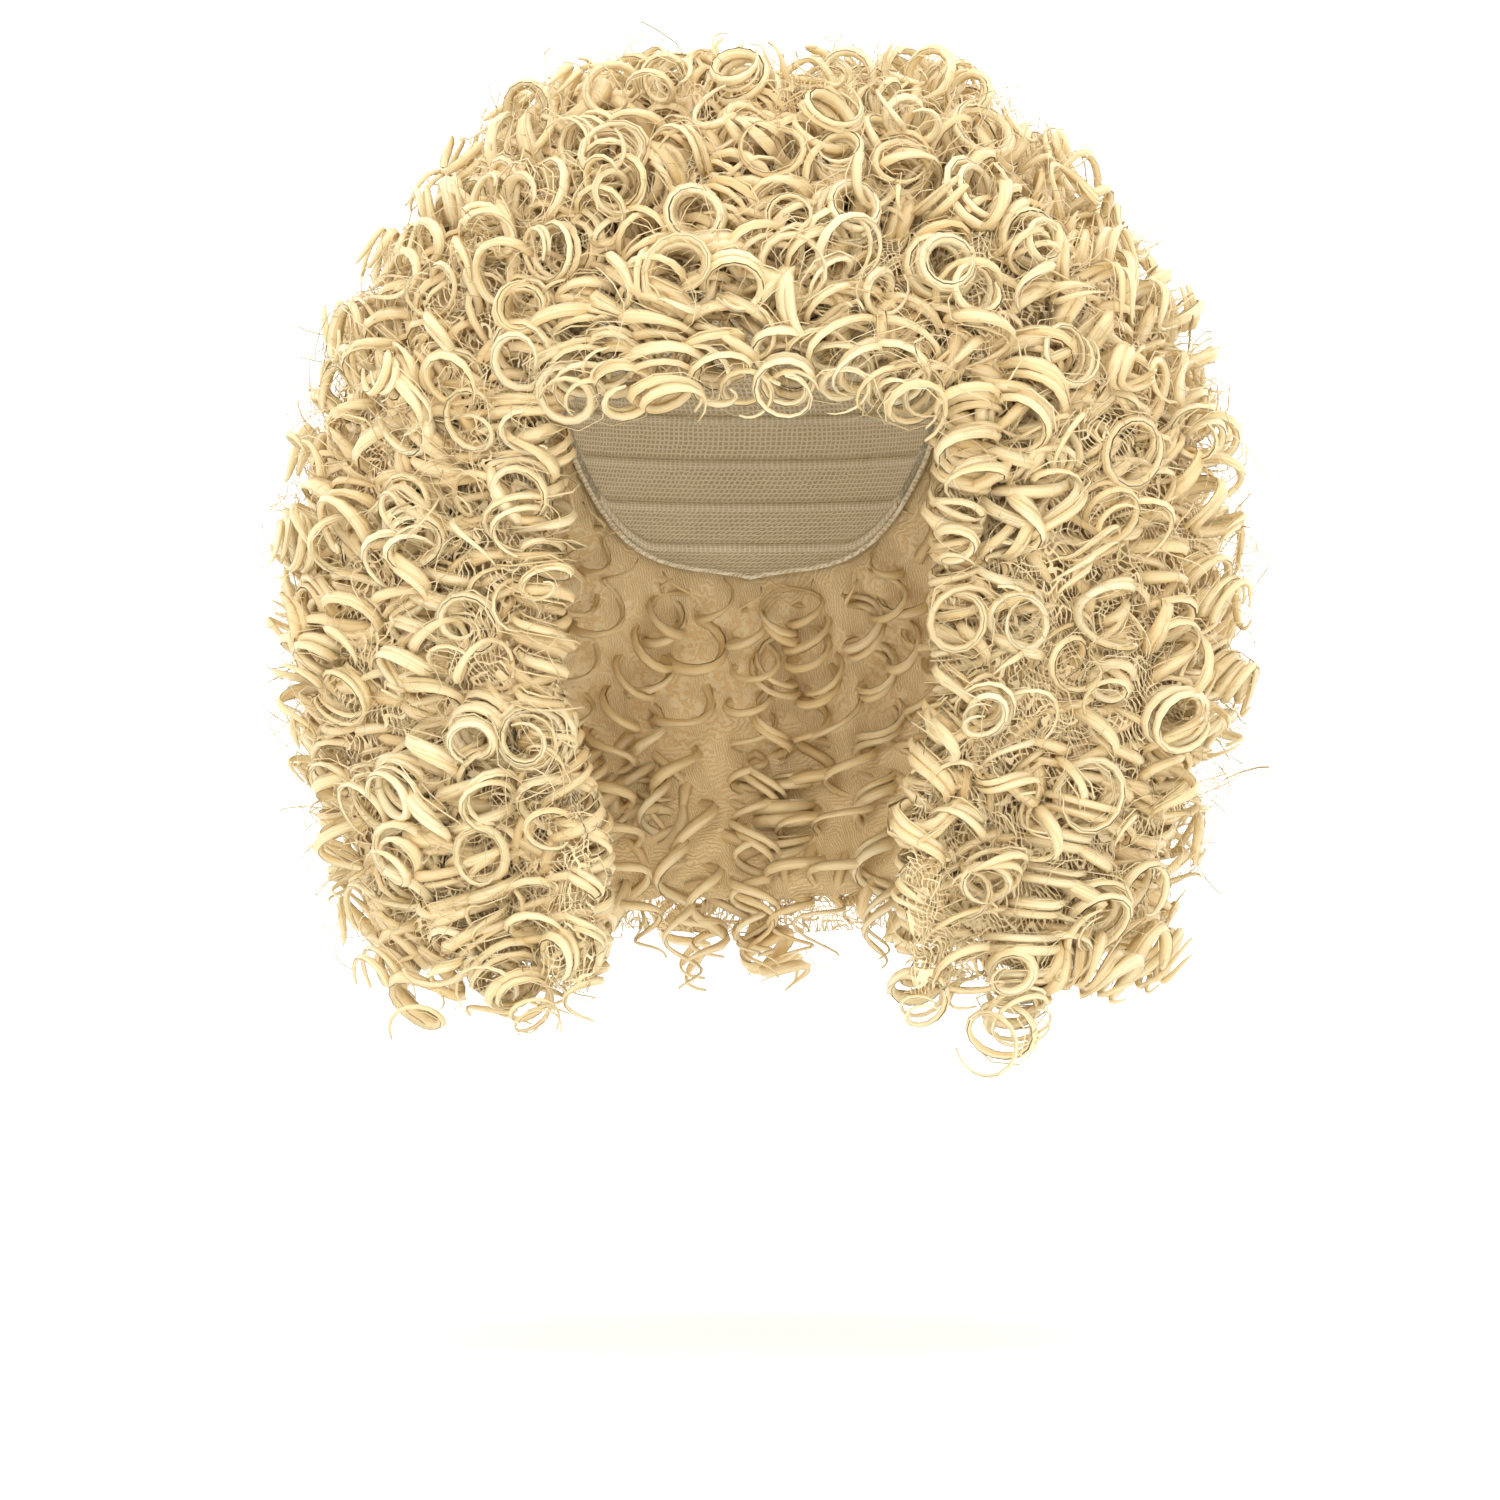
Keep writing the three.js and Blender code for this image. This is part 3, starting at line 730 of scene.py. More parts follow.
def curlMaterial(name, paintedShadeWeight, spec):
    material, tree = newMaterial(name)
    strand = addNode(tree, "ShaderNodeAttribute", attribute_name="strand")
    tone = addNode(tree, "ShaderNodeAttribute", attribute_name="tone")
    fibre = addNode(tree, "ShaderNodeAttribute", attribute_name="fibre")
    place = addNode(tree, "ShaderNodeSeparateXYZ", {"Vector": strand.outputs["Vector"]})
    colouring = addNode(tree, "ShaderNodeSeparateXYZ", {"Vector": tone.outputs["Vector"]})
    across = addNode(
        tree,
        "ShaderNodeMath",
        {0: place.outputs["X"], 1: spec["fibresAcross"]},
        operation="MULTIPLY",
    )
    run = addNode(
        tree,
        "ShaderNodeMath",
        {0: place.outputs["Y"], 1: 1 / spec["streakLength"]},
        operation="MULTIPLY",
    )
    seed = addNode(tree, "ShaderNodeMath", {0: place.outputs["Z"], 1: 90.0}, operation="MULTIPLY")
    streakPlace = addNode(
        tree,
        "ShaderNodeCombineXYZ",
        {"X": across.outputs[0], "Y": run.outputs[0], "Z": seed.outputs[0]},
    )
    streaks = addNode(
        tree,
        "ShaderNodeTexNoise",
        {"Vector": streakPlace.outputs[0], "Scale": 1.0, "Detail": 3.0, "Roughness": 0.6},
    )
    # Fibre streaks along the tow: the darker gold between them is partly the fibres' own tone and partly
    # painted shade between the fibres
    streaked = addRamp(
        tree,
        streaks.outputs[0],
        (0.33, spec["gold"]),
        (0.46, spec["middle"]),
        (0.6, spec["light"]),
    )
    tint = addNode(
        tree,
        "ShaderNodeMath",
        {0: colouring.outputs["Z"], 1: 0.4},
        operation="MULTIPLY",
    )
    tinted = addNode(
        tree,
        "ShaderNodeMix",
        {
            "Factor": tint.outputs[0],
            "A": streaked,
            "B": linearColour(spec["gold"]),
        },
        data_type="RGBA",
    )
    # Painted shade: the colour is mixed towards the darker gold by the tow's shade value, which is higher
    # in the middle and inner layers, and more so towards the tow's root
    rootward = addNode(
        tree,
        "ShaderNodeMapRange",
        {0: colouring.outputs["X"], 1: 0.0, 2: 0.8, 3: spec["rootDepth"], 4: 0.0},
    )
    paintedShade = addNode(
        tree,
        "ShaderNodeMath",
        {0: colouring.outputs["Y"], 1: paintedShadeWeight, 2: rootward.outputs[0]},
        operation="MULTIPLY_ADD",
        use_clamp=True,
    )
    coloured = addNode(
        tree,
        "ShaderNodeMix",
        {"Factor": paintedShade.outputs[0], "A": tinted.outputs["Result"], "B": linearColour(spec["paintedShade"])},
        data_type="RGBA",
    )
    bump = addNode(
        tree,
        "ShaderNodeBump",
        {"Height": streaks.outputs[0], "Strength": 0.5, "Distance": spec["bumpHeight"] * mm},
    )
    shader = addNode(
        tree,
        "ShaderNodeBsdfPrincipled",
        {
            "Base Color": coloured.outputs["Result"],
            "Roughness": spec["roughness"],
            "Normal": bump.outputs[0],
            "Sheen Weight": spec["sheen"],
            "Sheen Roughness": 0.35,
            "Sheen Tint": linearColour("#FFF6DA"),
            "IOR": 1.5,
            "Anisotropic": spec["anisotropy"],
            "Anisotropic Rotation": 0.25,
            "Tangent": fibre.outputs["Vector"],
        },
    )
    if spec["frayFrom"] < 0.5:
        fromMid = addNode(
            tree,
            "ShaderNodeMath",
            {0: place.outputs["X"], 1: 0.5},
            operation="SUBTRACT",
        )
        toEdge = addNode(tree, "ShaderNodeMath", {0: fromMid.outputs[0]}, operation="ABSOLUTE")
        needed = addNode(
            tree,
            "ShaderNodeMapRange",
            {0: toEdge.outputs[0], 1: spec["frayFrom"], 2: 0.5, 3: 0.2, 4: 0.6},
        )
        frayed = addNode(
            tree,
            "ShaderNodeMath",
            {0: streaks.outputs[0], 1: needed.outputs[0]},
            operation="GREATER_THAN",
        )
        tree.links.new(frayed.outputs[0], shader.inputs["Alpha"])
    addNode(tree, "ShaderNodeOutputMaterial", {"Surface": shader.outputs[0]})
    return material


# 0.8 weights the painted shade that each layer's shade value gives
curlFibre = curlMaterial("heat_curled_modacrylic", 0.8, curlFinish)
strayFibre = curlMaterial("stray_modacrylic_fibre", 0.8, {**curlFinish, "frayFrom": 0.5})

towBundle = {
    "shares": (0.7, 0.3),  # one or two tows
    "width": (3.4, 5.6),
    "flatness": (0.6, 0.85),
    "radiusShare": (0.88, 1.05),
    "phaseSpread": 0.05,
    "lift": (2.6, 4.6),
    "wanderShare": (0.7, 1.2),
    "swell": (0.04, 0.2),  # of the coil, and how many times along it
    "swellTurns": (0.5, 1.5),
    "tipShare": (0.15, 0.35),  # of the tow's thickness left at its tip
    "tipRadius": (0.6, 1.0),  # of the coil's radius there
    "shadeStray": (-0.1, 0.1),
    "tintStray": (-0.2, 0.2),
    "steps": 14,
    "sides": 4,
}
fibreBundle = {
    **towBundle,
    "shares": (0.5, 0.4, 0.1),
    "width": (0.45, 0.95),
    "flatness": (0.6, 0.9),
    "radiusShare": (0.8, 1.3),
    "phaseSpread": 0.12,
    "lift": (-4, 5),
    "wanderShare": (0.6, 2.6),
    "steps": 8,
    "sides": 3,
}
outerCurls = {
    "tipSpacing": 26,
    "rowSpacing": 28,
    "tilt": 26,
    "bend": 34,
    "flip": (8, 24),
    "flipReach": (0.3, 0.6),
    "dive": (12, 22),
    "slope": (0.14, 0.24),  # how fast a curl goes in towards its root
    "wander": (0.6, 2.2),
    "topTilt": (-80, 80),
    "topDepth": (0, 4),
    "tipTaper": (0.1, 0.3),
    "kinds": {
        "spiral": {
            "share": 0.34,
            "length": (70, 110),
            "radius": (7.5, 10),
            "turnHeight": (17, 28),
            "depth": (6, 10),
        },
        "ringlet": {
            "share": 0.32,
            "length": (45, 70),
            "radius": (8.5, 11.5),
            "turnHeight": (10.5, 15),
            "depth": (5, 10),
            "flip": (28, 62),
            "flipReach": (0.7, 1.1),
            "dive": (18, 30),
        },
        "loop": {
            "share": 0.34,
            "length": (24, 38),
            "radius": (8.5, 12.5),
            "turnHeight": (8, 12),
            "depth": (3, 8),
            "flip": (60, 90),
            "flipReach": (1.0, 1.4),
            "dive": (24, 32),
        },
    },
    "shade": 0.0,
    "bundles": (towBundle, fibreBundle),
}
# Loops over the whorl, where the guides of the other curls start
whorlCurls = {
    **outerCurls,
    "tipSpacing": 20,
    "rowSpacing": 17,
    "whorlReach": 30,
    "kinds": {"loop": outerCurls["kinds"]["loop"]},
}
middleCurls = {
    **outerCurls,
    "tipSpacing": 25,
    "rowSpacing": 30,
    "tilt": 26,
    "slope": (0.04, 0.1),
    "flip": (6, 28),
    "flipReach": (0.5, 0.9),
    "dive": (4, 8),
    "kinds": {
        "ringlet": {
            "share": 1,
            "length": (55, 90),
            "radius": (8, 11),
            "turnHeight": (12, 18),
            "depth": (21, 26),
        }
    },
    # painted shade: the middle ringlets lie under the outer ones and are coloured darker for it
    "shade": 0.3,
    "bundles": ({**towBundle, "shares": (0.8, 0.2), "steps": 12},),
}
innerCurls = {
    **middleCurls,
    "spacing": 13.5,
    "reach": 105,
    "below": 3,  # the cap's rim
    "curtain": 38,
    "capMargin": 4,
    "stand": 6,  # of the middle of a ringlet from the wall behind it
    "sway": 5,
    "swayTurns": (4, 8),
    "swayIn": 1.5,
    "from": 54,
    "to": 306,
    "tipStray": (2, 26),
    # painted shade: the ringlets lining the inside are coloured darker for lying in the hair's shade
    "shade": 0.25,
    "kinds": {
        "ringlet": {
            **middleCurls["kinds"]["ringlet"],
            "radius": (7, 9.5),
            "turnHeight": (15, 25),
        }
    },
}
strayFibres = {
    **outerCurls,
    "tipSpacing": 12.8,
    "rowSpacing": 13,
    "tilt": 40,
    "bend": 50,
    "flip": (5, 60),
    "flipReach": (0.4, 0.9),
    "wander": (0.5, 3),
    "tipTaper": (0.4, 0.6),
    "kinds": {
        "frizz": {
            "share": 1,
            "length": (26, 50),
            "radius": (2.5, 10),
            "turnHeight": (14, 34),
            "depth": (-3, 13),
        }
    },
    "dive": (4, 16),
    "bundles": (
        {
            **fibreBundle,
            "shares": (1.0,),
            "width": (0.32, 0.6),
            "radiusShare": (0.9, 1.1),
            "lift": (0, 0),
            "wanderShare": (0.7, 1.2),
            "steps": 10,
        },
    ),
}
# Curls that the front shows one by one. x and z of the tip, length, radius, height of a turn, hand
placedCurls = np.array(
    [
        (-61, -100, 66, 10, 13, 1),
        (-48, -91, 66, 11, 13, -1),
        (-36, -86, 58, 10, 17, 1),
        (-20, -97, 76, 12, 13, 1),
        (-5, -84, 58, 10, 16, -1),
        (6, -92, 60, 9.5, 20, 1),
        (17, -101, 70, 10.5, 21, -1),
        (28, -88, 60, 10.5, 14, -1),
        (39, -95, 66, 12, 12.5, 1),
        (52, -100, 64, 11, 12, -1),
        (66, -102, 76, 10, 15, 1),
        (-40, -64, 48, 11.5, 13, 1),
        (-4, -62, 46, 10.5, 15, -1),
        (30, -64, 48, 11, 16, 1),
        (-66, -104, 60, 11, 12, 1),
        (-43, -102, 56, 10.5, 11, -1),
        (-27, -104, 62, 11.5, 12, -1),
        (-12, -101, 56, 10, 11, 1),
        (1, -104, 60, 11, 13, -1),
        (11, -100, 54, 10, 11, 1),
        (34, -103, 60, 11, 12, -1),
        (46, -101, 56, 10.5, 12, 1),
        (60, -105, 60, 11.5, 11, -1),
        (-98, -312, 110, 11, 13, 1),
        (-76, -320, 110, 12, 13, -1),
        (-57, -328, 110, 10, 15, 1),
        (-114, -303, 90, 11, 15, -1),
        (102, -323, 120, 12.5, 13, 1),
        (120, -303, 110, 12, 13, -1),
        (80, -310, 100, 11, 14, 1),
        (63, -318, 100, 9.5, 15, -1),
        (88, -170, 150, 11, 22, 1),
        (104, -215, 170, 11, 23, -1),
        (130, -185, 170, 11, 24, 1),
        (148, -150, 140, 10.5, 22, -1),
        (118, -120, 120, 11, 20, 1),
        (-86, -150, 130, 11, 21, 1),
        (-108, -195, 150, 11, 20, -1),
        (-132, -160, 140, 11, 22, 1),
        (-76, -235, 120, 9.5, 13, -1),
        (74, -240, 120, 9.5, 13, 1),
        (-68, -170, 80, 8.5, 11, 1),
        (69, -160, 80, 9, 11, -1),
    ]
)
placedDetail = {
    **outerCurls,
    "tilt": 10,
    "bend": 20,
    "flip": (26, 60),
    "flipReach": (0.5, 0.9),
    "clearance": 11,  # kept free of sown tips round each
    "fringe": (70, -110),  # half width, and lowest level of its tips
    "kinds": {"placed": {**outerCurls["kinds"]["spiral"], "share": 1, "depth": (5, 9)}},
}


def allOf(line):
    return np.ones(len(line), bool)


def aboveTips(line):
    return line[..., 2].min(axis=1) > tipLevel(azimuthOf(line[:, -1])) + 14


def nearWhorl(line):
    near = np.hypot(line[:, -1, 0], line[:, -1, 1]) < whorlCurls["whorlReach"]
    return near & (line[:, -1, 2] > 0)


def clearOfPlaced(line):
    tip = line[:, -1][:, None]
    gap = np.hypot(tip[..., 0] - placedCurls[:, 0], tip[..., 2] - placedCurls[:, 1])
    return (gap.min(axis=1) > placedDetail["clearance"]) | (line[:, -1, 1] > 0)


def makeCurls(seed, spec, keep):
    rng = np.random.default_rng(seed)
    tips = sowTips(rng, spec)
    curls = drawCurls(rng, tips, spec)
    line = growGuides(tips, curls)
    kept = keep(line)
    curls = {key: values[kept] for key, values in curls.items()}
    line = keepOffFace(line[kept], curls["radius"] + 1)
    return line, [splitTows(rng, curls, spec, bundle) for bundle in spec["bundles"]]


def makePlacedCurls(seed, table, spec):
    rng = np.random.default_rng(seed)
    x, z = table[:, 0], table[:, 1]
    azimuth = np.degrees(np.arcsin(np.clip(x / 120, -0.9, 0.9)))
    for _ in range(12):
        aside = np.clip(x / reachAtLevel(azimuth, z), -0.98, 0.98)
        azimuth = lerp(azimuth, np.degrees(np.arcsin(aside)), 0.6)
    y = -reachAtLevel(azimuth, z) * np.cos(np.radians(azimuth))
    tips = unit(fromMiddle(np.stack([x, y, z], -1)))
    curls = drawCurls(rng, tips, spec)
    curls["topTilt"] *= 0.2
    for column, key in enumerate(("length", "radius", "turnHeight", "hand")):
        curls[key] = table[:, 2 + column]
    line = growGuides(tips, curls)
    halfWidth, lowest = spec["fringe"]
    inFringe = (np.abs(x) < halfWidth) & (z > lowest)
    line = np.where(inFringe[:, None, None], line, keepOffFace(line, curls["radius"] + 1))
    return line, [splitTows(rng, curls, spec, bundle) for bundle in spec["bundles"]]


# Ringlets that hang from the cap's rim and line the inside of the hair
def makeInnerCurls(seed, spec):
    rng = np.random.default_rng(seed)
    count = int(np.radians(spec["to"] - spec["from"]) * spec["reach"] / spec["spacing"])
    place = (np.arange(count) + rng.uniform(-0.25, 0.25, count) + 0.5) / count
    azimuth = lerp(spec["from"], spec["to"], place)
    about = wrapped(azimuth)
    curls = drawCurls(rng, np.zeros((count, 3)), spec)
    top = rimLevel(about) - spec["below"]
    bottom = tipLevel(about) + rng.uniform(*spec["tipStray"], count)
    share = np.linspace(0, 1, guideSamples)
    level = lerp(top[:, None], bottom[:, None], share[None, :])
    wall = hollowReach(about[:, None], level, spec["curtain"], spec["capMargin"])
    swayTurns = rng.uniform(*spec["swayTurns"], count)[:, None]
    swaying = np.sin(share[None, :] * swayTurns + curls["bendPhase"][:, None])
    reach = wall - spec["stand"] + spec["swayIn"] * swaying
    turned = np.radians(about[:, None]) + spec["sway"] * swaying / reach
    line = keepOffFace(atReach(reach, turned, level), curls["radius"] + 3)
    return line, [splitTows(rng, curls, spec, bundle) for bundle in spec["bundles"]]


sections = {
    "crown": ("crown_curls", "crown_hair"),
    "fringe": ("fringe_curls", "fringe_hair"),
    "left": ("left_curls", "side_hair"),
    "right": ("right_curls", "side_hair"),
    "back": ("back_curls", "back_hair"),
}


def finishPiece(piece, slot, *nodes):
    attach(piece, "root")
    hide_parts(*nodes)


# Winds the tows of some guides, gathered by the section that each belongs to
def windSections(line, owner, tows, bundle, gathered):
    names = sectionOf(line)[owner]
    for section in sections:
        chosen = np.nonzero(names == section)[0]
        if len(chosen) > 0:
            picked = {key: values[chosen] for key, values in tows.items()}
            wound = windTows(line[owner[chosen]], picked, bundle)
            gathered.setdefault(section, []).extend(wound)


layers = {
    "outer_ringlets": {},
    "middle_ringlets": {},
    "inner_ringlets": {},
    "loose_fibres": {},
}
for layer, (line, split), spec in (
    ("outer_ringlets", makeCurls(11, outerCurls, clearOfPlaced), outerCurls),
    ("outer_ringlets", makePlacedCurls(14, placedCurls, placedDetail), placedDetail),
    ("outer_ringlets", makeCurls(17, whorlCurls, nearWhorl), whorlCurls),
    ("middle_ringlets", makeCurls(12, middleCurls, allOf), middleCurls),
    ("inner_ringlets", makeInnerCurls(13, innerCurls), innerCurls),
    ("loose_fibres", makeCurls(21, strayFibres, aboveTips), strayFibres),
):
    for number, (owner, tows) in enumerate(split):
        target = layers[layer] if number == 0 else layers["loose_fibres"]
        print(layer, "bundle", number, "of", len(line), "curls:", len(owner), "tows or fibres")
        windSections(line, owner, tows, spec["bundles"][number], target)
for layer, gathered in layers.items():
    for section, parts in gathered.items():
        node, slot = sections[section]
        finish = strayFibre if layer == "loose_fibres" else curlFibre
        piece = meshPiece(f"{section}_{layer}", parts, finish)
        finishPiece(piece, slot, node)
print("ringlets wound and fibres sown")

# Under-hair: the dense mass of fibre that the ringlets stand out of, and the stretch cap in it


# A sheet spun round the upright axis, to be shaped: the number of a vertex is column * rows + row
def spunSheet(rows, columns, closedProfile, wholeTurn):
    work = bmesh.new()
    if closedProfile:
        bmesh.ops.create_circle(work, cap_ends=False, segments=rows, radius=0.2)
        for vertex in work.verts:
            vertex.co = Vector((1 + vertex.co.x, 0, vertex.co.y))
    else:
        line = [work.verts.new((1, 0, -row)) for row in range(rows)]
        for above, below in zip(line, line[1:]):
            work.edges.new((above, below))
    steps = columns if wholeTurn else columns - 1
    bmesh.ops.spin(
        work,
        geom=work.verts[:] + work.edges[:],
        cent=(0, 0, 0),
        axis=(0, 0, 1),
        angle=tau if wholeTurn else tau * 0.8,
        steps=steps,
        use_merge=wholeTurn,
        use_duplicate=False,
    )
    work.verts.ensure_lookup_table()
    if closedProfile and not wholeTurn:
        bmesh.ops.contextual_create(work, geom=work.verts[:rows])
        bmesh.ops.contextual_create(work, geom=work.verts[-rows:])
    return work


def smoothPiece(name, work, material):
    mesh = bpy.data.meshes.new(name)
    work.to_mesh(mesh)
    work.free()
    mesh.polygons.foreach_set("use_smooth", np.ones(len(mesh.polygons), bool))
    return addPiece(name, mesh, material)


# Moves the vertices of a spun sheet to their places, closes its poles and makes it a piece
def shapedSheet(name, work, points, material, strand=None):
    if strand is not None:
        layer = work.verts.layers.float_vector.new("strand")
        for vertex, value in zip(work.verts, strand.reshape(-1, 3)):
            vertex[layer] = Vector(value)
    for vertex, place in zip(work.verts, points.reshape(-1, 3) * mm):
        vertex.co = Vector(place)
    bmesh.ops.remove_doubles(work, verts=work.verts[:], dist=1e-6)
    bmesh.ops.recalc_face_normals(work, faces=work.faces[:])
    return smoothPiece(name, work, material)


# Modacrylic frizz, curled short and tangled: swirls of fine fibre, with painted shade, a darker gold, in
# the gaps between them
frizzFinish = {
    "light": "#F7E0B0",
    "gold": "#F1D39B",
    # painted shade in the gaps between the swirls
    "paintedShade": "#E9C68A",
    "fibreSpacings": (0.9, 1.2),  # real fibres lie much closer, so they are drawn coarser to show
    "swirl": 20.0,
    "swirlSize": 16.0,
    "swirlDetail": 4.0,
    "swirlRoughness": 0.72,
    "bumpHeight": 0.25,
    "roughness": 0.6,
}


# Bands a fibre apart that swirl round each other
def fibreBands(tree, place, turn, spacing, spec):
    mapping = addNode(tree, "ShaderNodeMapping", {"Vector": place, "Rotation": turn})
    scale = tau / (20 * spacing * mm)
    return addNode(
        tree,
        "ShaderNodeTexWave",
        {
            "Vector": mapping.outputs[0],
            "Scale": scale,
            "Distortion": spec["swirl"],
            "Detail": spec["swirlDetail"],
            "Detail Scale": 1 / (spec["swirlSize"] * mm * scale),
            "Detail Roughness": spec["swirlRoughness"],
        },
    ).outputs["Fac"]


# With a veil's share, only lines of fibre stay, where a band is over it
def frizzMaterial(name, spec, veilShare=None):
    material, tree = newMaterial(name)
    place = addNode(tree, "ShaderNodeTexCoord").outputs["Object"]
    near, far = spec["fibreSpacings"]
    first = fibreBands(tree, place, (0.5, 0.3, 0.0), near, spec)
    second = fibreBands(tree, place, (-0.7, 0.9, 1.4), far, spec)
    patches = addNode(tree, "ShaderNodeTexNoise", {"Vector": place, "Scale": 90.0, "Detail": 2.0})
    sharper = addNode(
        tree,
        "ShaderNodeMapRange",
        {0: patches.outputs[0], 1: 0.42, 2: 0.58, 3: 0.0, 4: 1.0},
        interpolation_type="SMOOTHSTEP",
    )
    fibres = addNode(tree, "ShaderNodeMix", {"Factor": sharper.outputs[0], "A": first, "B": second})
    # Painted shade: the gaps between the fibre bands take the darker gold, the bands themselves the light
    # colour
    coloured = addRamp(
        tree,
        fibres.outputs["Result"],
        (0.05, spec["paintedShade"]),
        (0.35, spec["gold"]),
        (0.85, spec["light"]),
    )
    bump = addNode(
        tree,
        "ShaderNodeBump",
        {"Height": fibres.outputs["Result"], "Strength": 0.8, "Distance": spec["bumpHeight"] * mm},
    )
    shader = addNode(
        tree,
        "ShaderNodeBsdfPrincipled",
        {
            "Base Color": coloured,
            "Roughness": spec["roughness"],
            "Normal": bump.outputs[0],
            "IOR": 1.5,
        },
    )
    if veilShare is not None:
        either = addNode(tree, "ShaderNodeMath", {0: first, 1: second}, operation="MAXIMUM")
        lines = addNode(
            tree,
            "ShaderNodeMath",
            {0: either.outputs[0], 1: veilShare},
            operation="GREATER_THAN",
        )
        tree.links.new(lines.outputs[0], shader.inputs["Alpha"])
    addNode(tree, "ShaderNodeOutputMaterial", {"Surface": shader.outputs[0]})
    return material


frizzFibre = frizzMaterial("tangled_modacrylic_frizz", frizzFinish)
# The same frizz where it stands loose among the ringlets: single fibres with air between them
veilFinish = {
    **frizzFinish,
    "light": "#FBE6B8",
    "gold": "#F8DFAC",
    # painted shade in the gaps between the swirls, as in the under-hair
    "paintedShade": "#F3D69C",
    "fibreSpacings": (2.2, 2.7),
    "swirl": 24.0,
    "swirlSize": 14.0,
    "swirlDetail": 1.0,
    "swirlRoughness": 0.4,
}
looseFrizz = frizzMaterial("loose_modacrylic_frizz", veilFinish, 0.9)

underHair = {
    "columns": 150,
    "rows": 44,
    "innerRows": 22,
    "depth": 33,  # below the outline of the curls
    "curtain": 38,
    "capMargin": 4,
    "tipRise": 40,
    "faceMargin": 15,
    "ripple": 2.6,
    "hangsFrom": -40,
    "crownEnds": -62,  # below where the hanging part starts
    "leastWall": 4,
}


def ripples(around, down, height):
    wave = np.sin(around / 4.5 + 1.7 * np.sin(down / 19)) * np.sin(down / 3.2 + 2.2 * np.sin(around / 13))
    return height * (wave + 0.5 * np.sin(around / 9 + down / 31))


def makeHangingMass(name, spec, material):
    rows = spec["rows"] + spec["innerRows"]
    columns = spec["columns"]
    work = spunSheet(rows, columns, True, False)
    outer = np.linspace(0, 1, spec["rows"])
    inner = np.linspace(1, 0, spec["innerRows"])
    fall = np.tile(np.concatenate([outer, inner]), (columns, 1))
    isOuter = np.tile(np.arange(rows) < spec["rows"], (columns, 1))
    lap = np.tile(np.linspace(0, 1, columns)[:, None], (1, rows))
    azimuth = lerp(40, 320, lap)  # a first guess, brought to the face opening's edges in four rounds
    for _ in range(4):
        about = wrapped(azimuth)
        level = lerp(spec["hangsFrom"], tipLevel(about) + spec["tipRise"], fall)
        hollow = hollowReach(about, level, spec["curtain"], spec["capMargin"])
        outside = np.maximum(reachAtLevel(about, level) - spec["depth"], hollow + spec["leastWall"])
        reach = np.where(isOuter, outside, hollow)
        gap = np.clip((faceGap(level) + spec["faceMargin"]) / reach, 0, 0.98)
        edge = np.degrees(np.arcsin(gap))
        azimuth = lerp(edge, 360 - edge, lap)
    around = np.radians(azimuth) * 150
    bump = ripples(around, -level, spec["ripple"])
    reach = reach + np.where(isOuter, bump, -0.4 * bump)
    return shapedSheet(name, work, atReach(reach, np.radians(azimuth), level), material)


def makeCrownMass(name, spec, material):
    rows = spec["rows"] + spec["innerRows"]
    columns = spec["columns"]
    work = spunSheet(rows, columns, False, True)
    lap = np.arange(columns) / columns
    azimuth = np.tile((lap * 360)[:, None], (1, rows))
    about = wrapped(azimuth)
    bottom = spec["crownEnds"]
    bottomFall = np.interp(-bottom, -levelsDown, levelFalls)
    outer = np.tile(np.linspace(0, 1, spec["rows"]) * bottomFall, (columns, 1))
    outerLevel = outlineLevel(outer) - spec["depth"] * (1 - smoothstep(outer, 0.25, 0.5))
    ownAbout = about[:, : spec["rows"]]
    outerReach = np.maximum(outlineReach(ownAbout, outer) - spec["depth"] * smoothstep(outer, 0, 0.2), 0)
    capTop = headShape["capWall"] + spec["capMargin"]
    share = np.linspace(1, 0, spec["innerRows"])
    widest = headShape["crownToWidest"]
    rimAngle = np.arccos((bottom + widest) / (widest + capTop))
    innerLevel = (widest + capTop) * np.cos(rimAngle * share) - widest
    innerLevel = np.tile(innerLevel, (columns, 1))
    innerReach = headReach(about[:, : spec["innerRows"]], innerLevel, capTop)
    innerReach[:, -1] = 0
    head = headReach(ownAbout, np.minimum(outerLevel, 2), capTop + 3)
    outerReach[:, 1:] = np.maximum(outerReach, head)[:, 1:]
    outerLevel = np.maximum(outerLevel, np.where(outer < 0.1, capTop + 3, -400))
    reach = np.concatenate([outerReach, innerReach], axis=1)
    level = np.concatenate([outerLevel, innerLevel], axis=1)
    around = np.radians(azimuth) * 120
    weight = np.concatenate([smoothstep(outer, 0.1, 0.3), 0 * innerLevel], axis=1)
    reach = reach + ripples(around, -level, spec["ripple"]) * weight
    return shapedSheet(name, work, atReach(reach, np.radians(azimuth), level), material)


veil = {
    **underHair,
    "columns": 110,
    "rows": 34,
    "innerRows": 14,
    "depth": 22,
    "curtain": 28,
    "capMargin": 13,
    "tipRise": 26,
    "faceMargin": 8,
    "ripple": 4.5,
}
for name, spec, material in (("under_hair", underHair, frizzFibre), ("frizz_veil", veil, looseFrizz)):
    hanging = makeHangingMass(f"hanging_{name}", spec, material)
    finishPiece(hanging, "back_hair", "left_curls", "right_curls", "back_curls")
    finishPiece(makeCrownMass(f"crown_{name}", spec, material), "crown_hair", "crown_curls")
print("under-hair laid")

